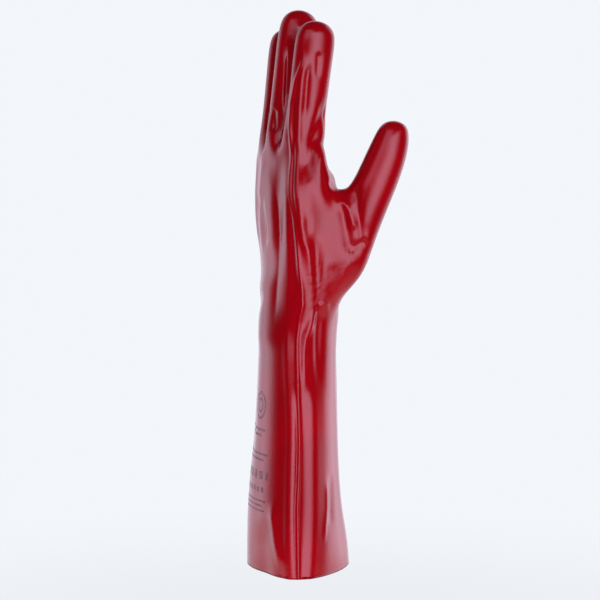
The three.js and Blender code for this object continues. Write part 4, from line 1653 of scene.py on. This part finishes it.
@dataclass(frozen=True)
class SoftLight:
    """A soft light far off in the studio, as a patch of the sky round the glove.

    Args:
        name: what it is.
        azimuth: its middle, in degrees to the right of the camera as the photograph is seen.
        half_width: half of its width, in degrees.
        azimuth_fade: the width of its soft sides, in degrees.
        elevation: its middle's height, in degrees.
        half_height: half of its height, in degrees.
        elevation_fade: the width of its soft top and bottom, in degrees.
        radiance: how bright it is; the picture's white is 1.
    """

    name: str
    azimuth: float
    half_width: float
    azimuth_fade: float
    elevation: float
    half_height: float
    elevation_fade: float
    radiance: float

    def level(self, shader: Shader, azimuth: Socket, elevation: Socket) -> Socket:
        """The light's radiance in a direction.

        Args:
            shader: the world's shader.
            azimuth: the direction's azimuth, in degrees from the camera.
            elevation: its elevation, in degrees.

        Returns:
            The radiance.
        """
        turned = abs(azimuth - self.azimuth)
        turned = turned.minimum(360 - turned)
        aside = shader.between(turned, self.half_width - self.azimuth_fade / 2,
                               self.half_width + self.azimuth_fade / 2)
        above = shader.between(abs(elevation - self.elevation), self.half_height - self.elevation_fade / 2,
                               self.half_height + self.elevation_fade / 2)
        return (1 - aside) * (1 - above) * self.radiance


LIGHTS = (
    SoftLight("wall behind", azimuth=182, half_width=73, azimuth_fade=42,
              elevation=0, half_height=40, elevation_fade=30, radiance=0.95),
    SoftLight("front softbox", azimuth=20, half_width=23, azimuth_fade=40,
              elevation=2, half_height=25, elevation_fade=14, radiance=3.1),
    SoftLight("reflector on the left", azimuth=-24, half_width=24, azimuth_fade=26,
              elevation=27, half_height=17, elevation_fade=14, radiance=1.2),
    SoftLight("left softbox", azimuth=-122, half_width=14, azimuth_fade=20,
              elevation=-10, half_height=20, elevation_fade=20, radiance=0.7),
    SoftLight("right softbox", azimuth=132, half_width=16, azimuth_fade=18,
              elevation=14, half_height=30, elevation_fade=16, radiance=0.9),
)


@dataclass
class Studio:
    """The camera, the soft lights and the pale floor.

    Args:
        view: the photograph's view.
        background: the colour that the camera sees behind the glove.
        room_light: the radiance between the lights.
        brightest: a radiance that the studio exceeds in no direction.
        tint: the lights' colour.
        floor_drop: the floor's place below the hem, in millimetres.
        floor_radius: its radius, in millimetres.
        floor_clear: how far from the middle it begins to fade, in metres.
        floor_edge: and where it has faded out.
        floor_glow: the share of its own light, against the light that falls on it.
        floor_greys: the two colours of its faint speckle.
        floor_points: the points of its rim.
    """

    view: PhotoView
    background: tuple = (0.896, 0.922, 0.956)
    room_light: float = 0.03
    brightest: float = 6.0
    tint: tuple = (1.0, 0.93, 1.1)
    floor_drop: float = 45.0
    floor_radius: float = 550.0
    floor_clear: float = 0.12
    floor_edge: float = 0.5
    floor_glow: float = 0.9
    floor_greys: tuple = ((0.78, 0.8, 0.83), (0.82, 0.84, 0.87))
    floor_points: int = 96

    def build(self) -> None:
        """Adds everything that isn't the glove."""
        self._camera()
        self._world()
        self._floor()
        bpy.context.scene.view_settings.view_transform = "Standard"

    def _camera(self) -> None:
        """Adds the photograph's camera."""
        data = bpy.data.cameras.new("camera")
        data.sensor_width = 36
        data.lens = data.sensor_width * self.view.distance / (self.view.scale * PICTURE_SIDE)
        data.clip_end = 100
        camera = bpy.data.objects.new("camera", data)
        back = Vector(self.view.axes()[0])
        camera.location = (Vector(self.view.aim()) + back * self.view.distance) * MM
        camera.rotation_mode = "QUATERNION"
        camera.rotation_quaternion = back.to_track_quat("Z", "Y")
        bpy.context.scene.collection.objects.link(camera)
        bpy.context.scene.camera = camera

    def _world(self) -> None:
        """A pale background to the camera, and the soft lights to all else."""
        world = bpy.data.worlds.new("studio")
        bpy.context.scene.world = world
        world.use_nodes = True
        shader = Shader(world.node_tree)
        direction = shader.node("ShaderNodeTexCoord", output="Generated")
        x, y, z = (shader.node("ShaderNodeSeparateXYZ", {}, {0: direction}, axis) for axis in "XYZ")
        degrees = 180 / math.pi
        azimuth = shader.node("ShaderNodeMath", {"operation": "ARCTAN2"}, {0: y, 1: x}) * degrees
        elevation = shader.node("ShaderNodeMath", {"operation": "ARCSINE"}, {0: z}) * degrees
        level: Value = self.room_light
        for light in LIGHTS:
            log.debug("%s: radiance %.2f", light.name, light.radiance)
            level = level + light.level(shader, azimuth, elevation)
        dark = shader.node("ShaderNodeBackground", {}, {"Strength": 0.0})
        lights = {"Color": colour(self.tint), "Strength": self.brightest}
        bright = shader.node("ShaderNodeBackground", {}, lights)
        lit = shader.node("ShaderNodeMixShader", {}, {0: level / self.brightest, 1: dark, 2: bright})
        pale = shader.node("ShaderNodeBackground", {}, {"Color": colour(self.background), "Strength": 1.0})
        seen = shader.node("ShaderNodeLightPath", output="Is Camera Ray")
        both = shader.node("ShaderNodeMixShader", {}, {0: seen, 1: lit, 2: pale})
        output = shader.tree.nodes.new("ShaderNodeOutputWorld")
        shader.tree.links.new(both.link, output.inputs["Surface"])

    def _floor(self) -> None:
        """A round pale floor that fades out into the background."""
        made = bpy.data.materials.new("pale_floor")
        made.use_nodes = True
        shader = Shader(made.node_tree)
        x, y, _ = shader.place()
        far = shader.between((x**2 + y**2) ** 0.5, self.floor_clear, self.floor_edge)
        grey = shader.mix(shader.noise(scale=40), *self.floor_greys)
        matt = shader.node("ShaderNodeBsdfDiffuse", {}, {"Color": grey})
        glow = shader.node("ShaderNodeEmission", {}, {"Color": colour(self.background), "Strength": 1.0})
        near = shader.node("ShaderNodeMixShader", {}, {0: self.floor_glow, 1: matt, 2: glow})
        clear = shader.node("ShaderNodeBsdfTransparent")
        surface = shader.node("ShaderNodeMixShader", {}, {0: far, 1: near, 2: clear})
        finish_material(shader, surface)
        angles = [2 * math.pi * n / self.floor_points for n in range(self.floor_points)]
        points = [(math.cos(a) * self.floor_radius, math.sin(a) * self.floor_radius, 0) for a in angles]
        floor = write_mesh("floor", np.array(points), [list(range(self.floor_points))], made)
        floor.location.z = -self.floor_drop * MM


def main() -> None:
    """Builds the glove and its studio, and reports each piece."""
    logging.basicConfig(level=logging.INFO, format="%(message)s")
    view = PhotoView()
    surface = FoldedSurface(GloveForm(), view, FOLDS)
    surface.build()
    for maker in (PvcCoat(surface), CottonLining(surface)):
        piece = maker.build()
        log.info("%s: %d points, %d faces", piece.name, len(piece.data.vertices), len(piece.data.polygons))
    Studio(view).build()


if __name__ == "__main__":
    main()
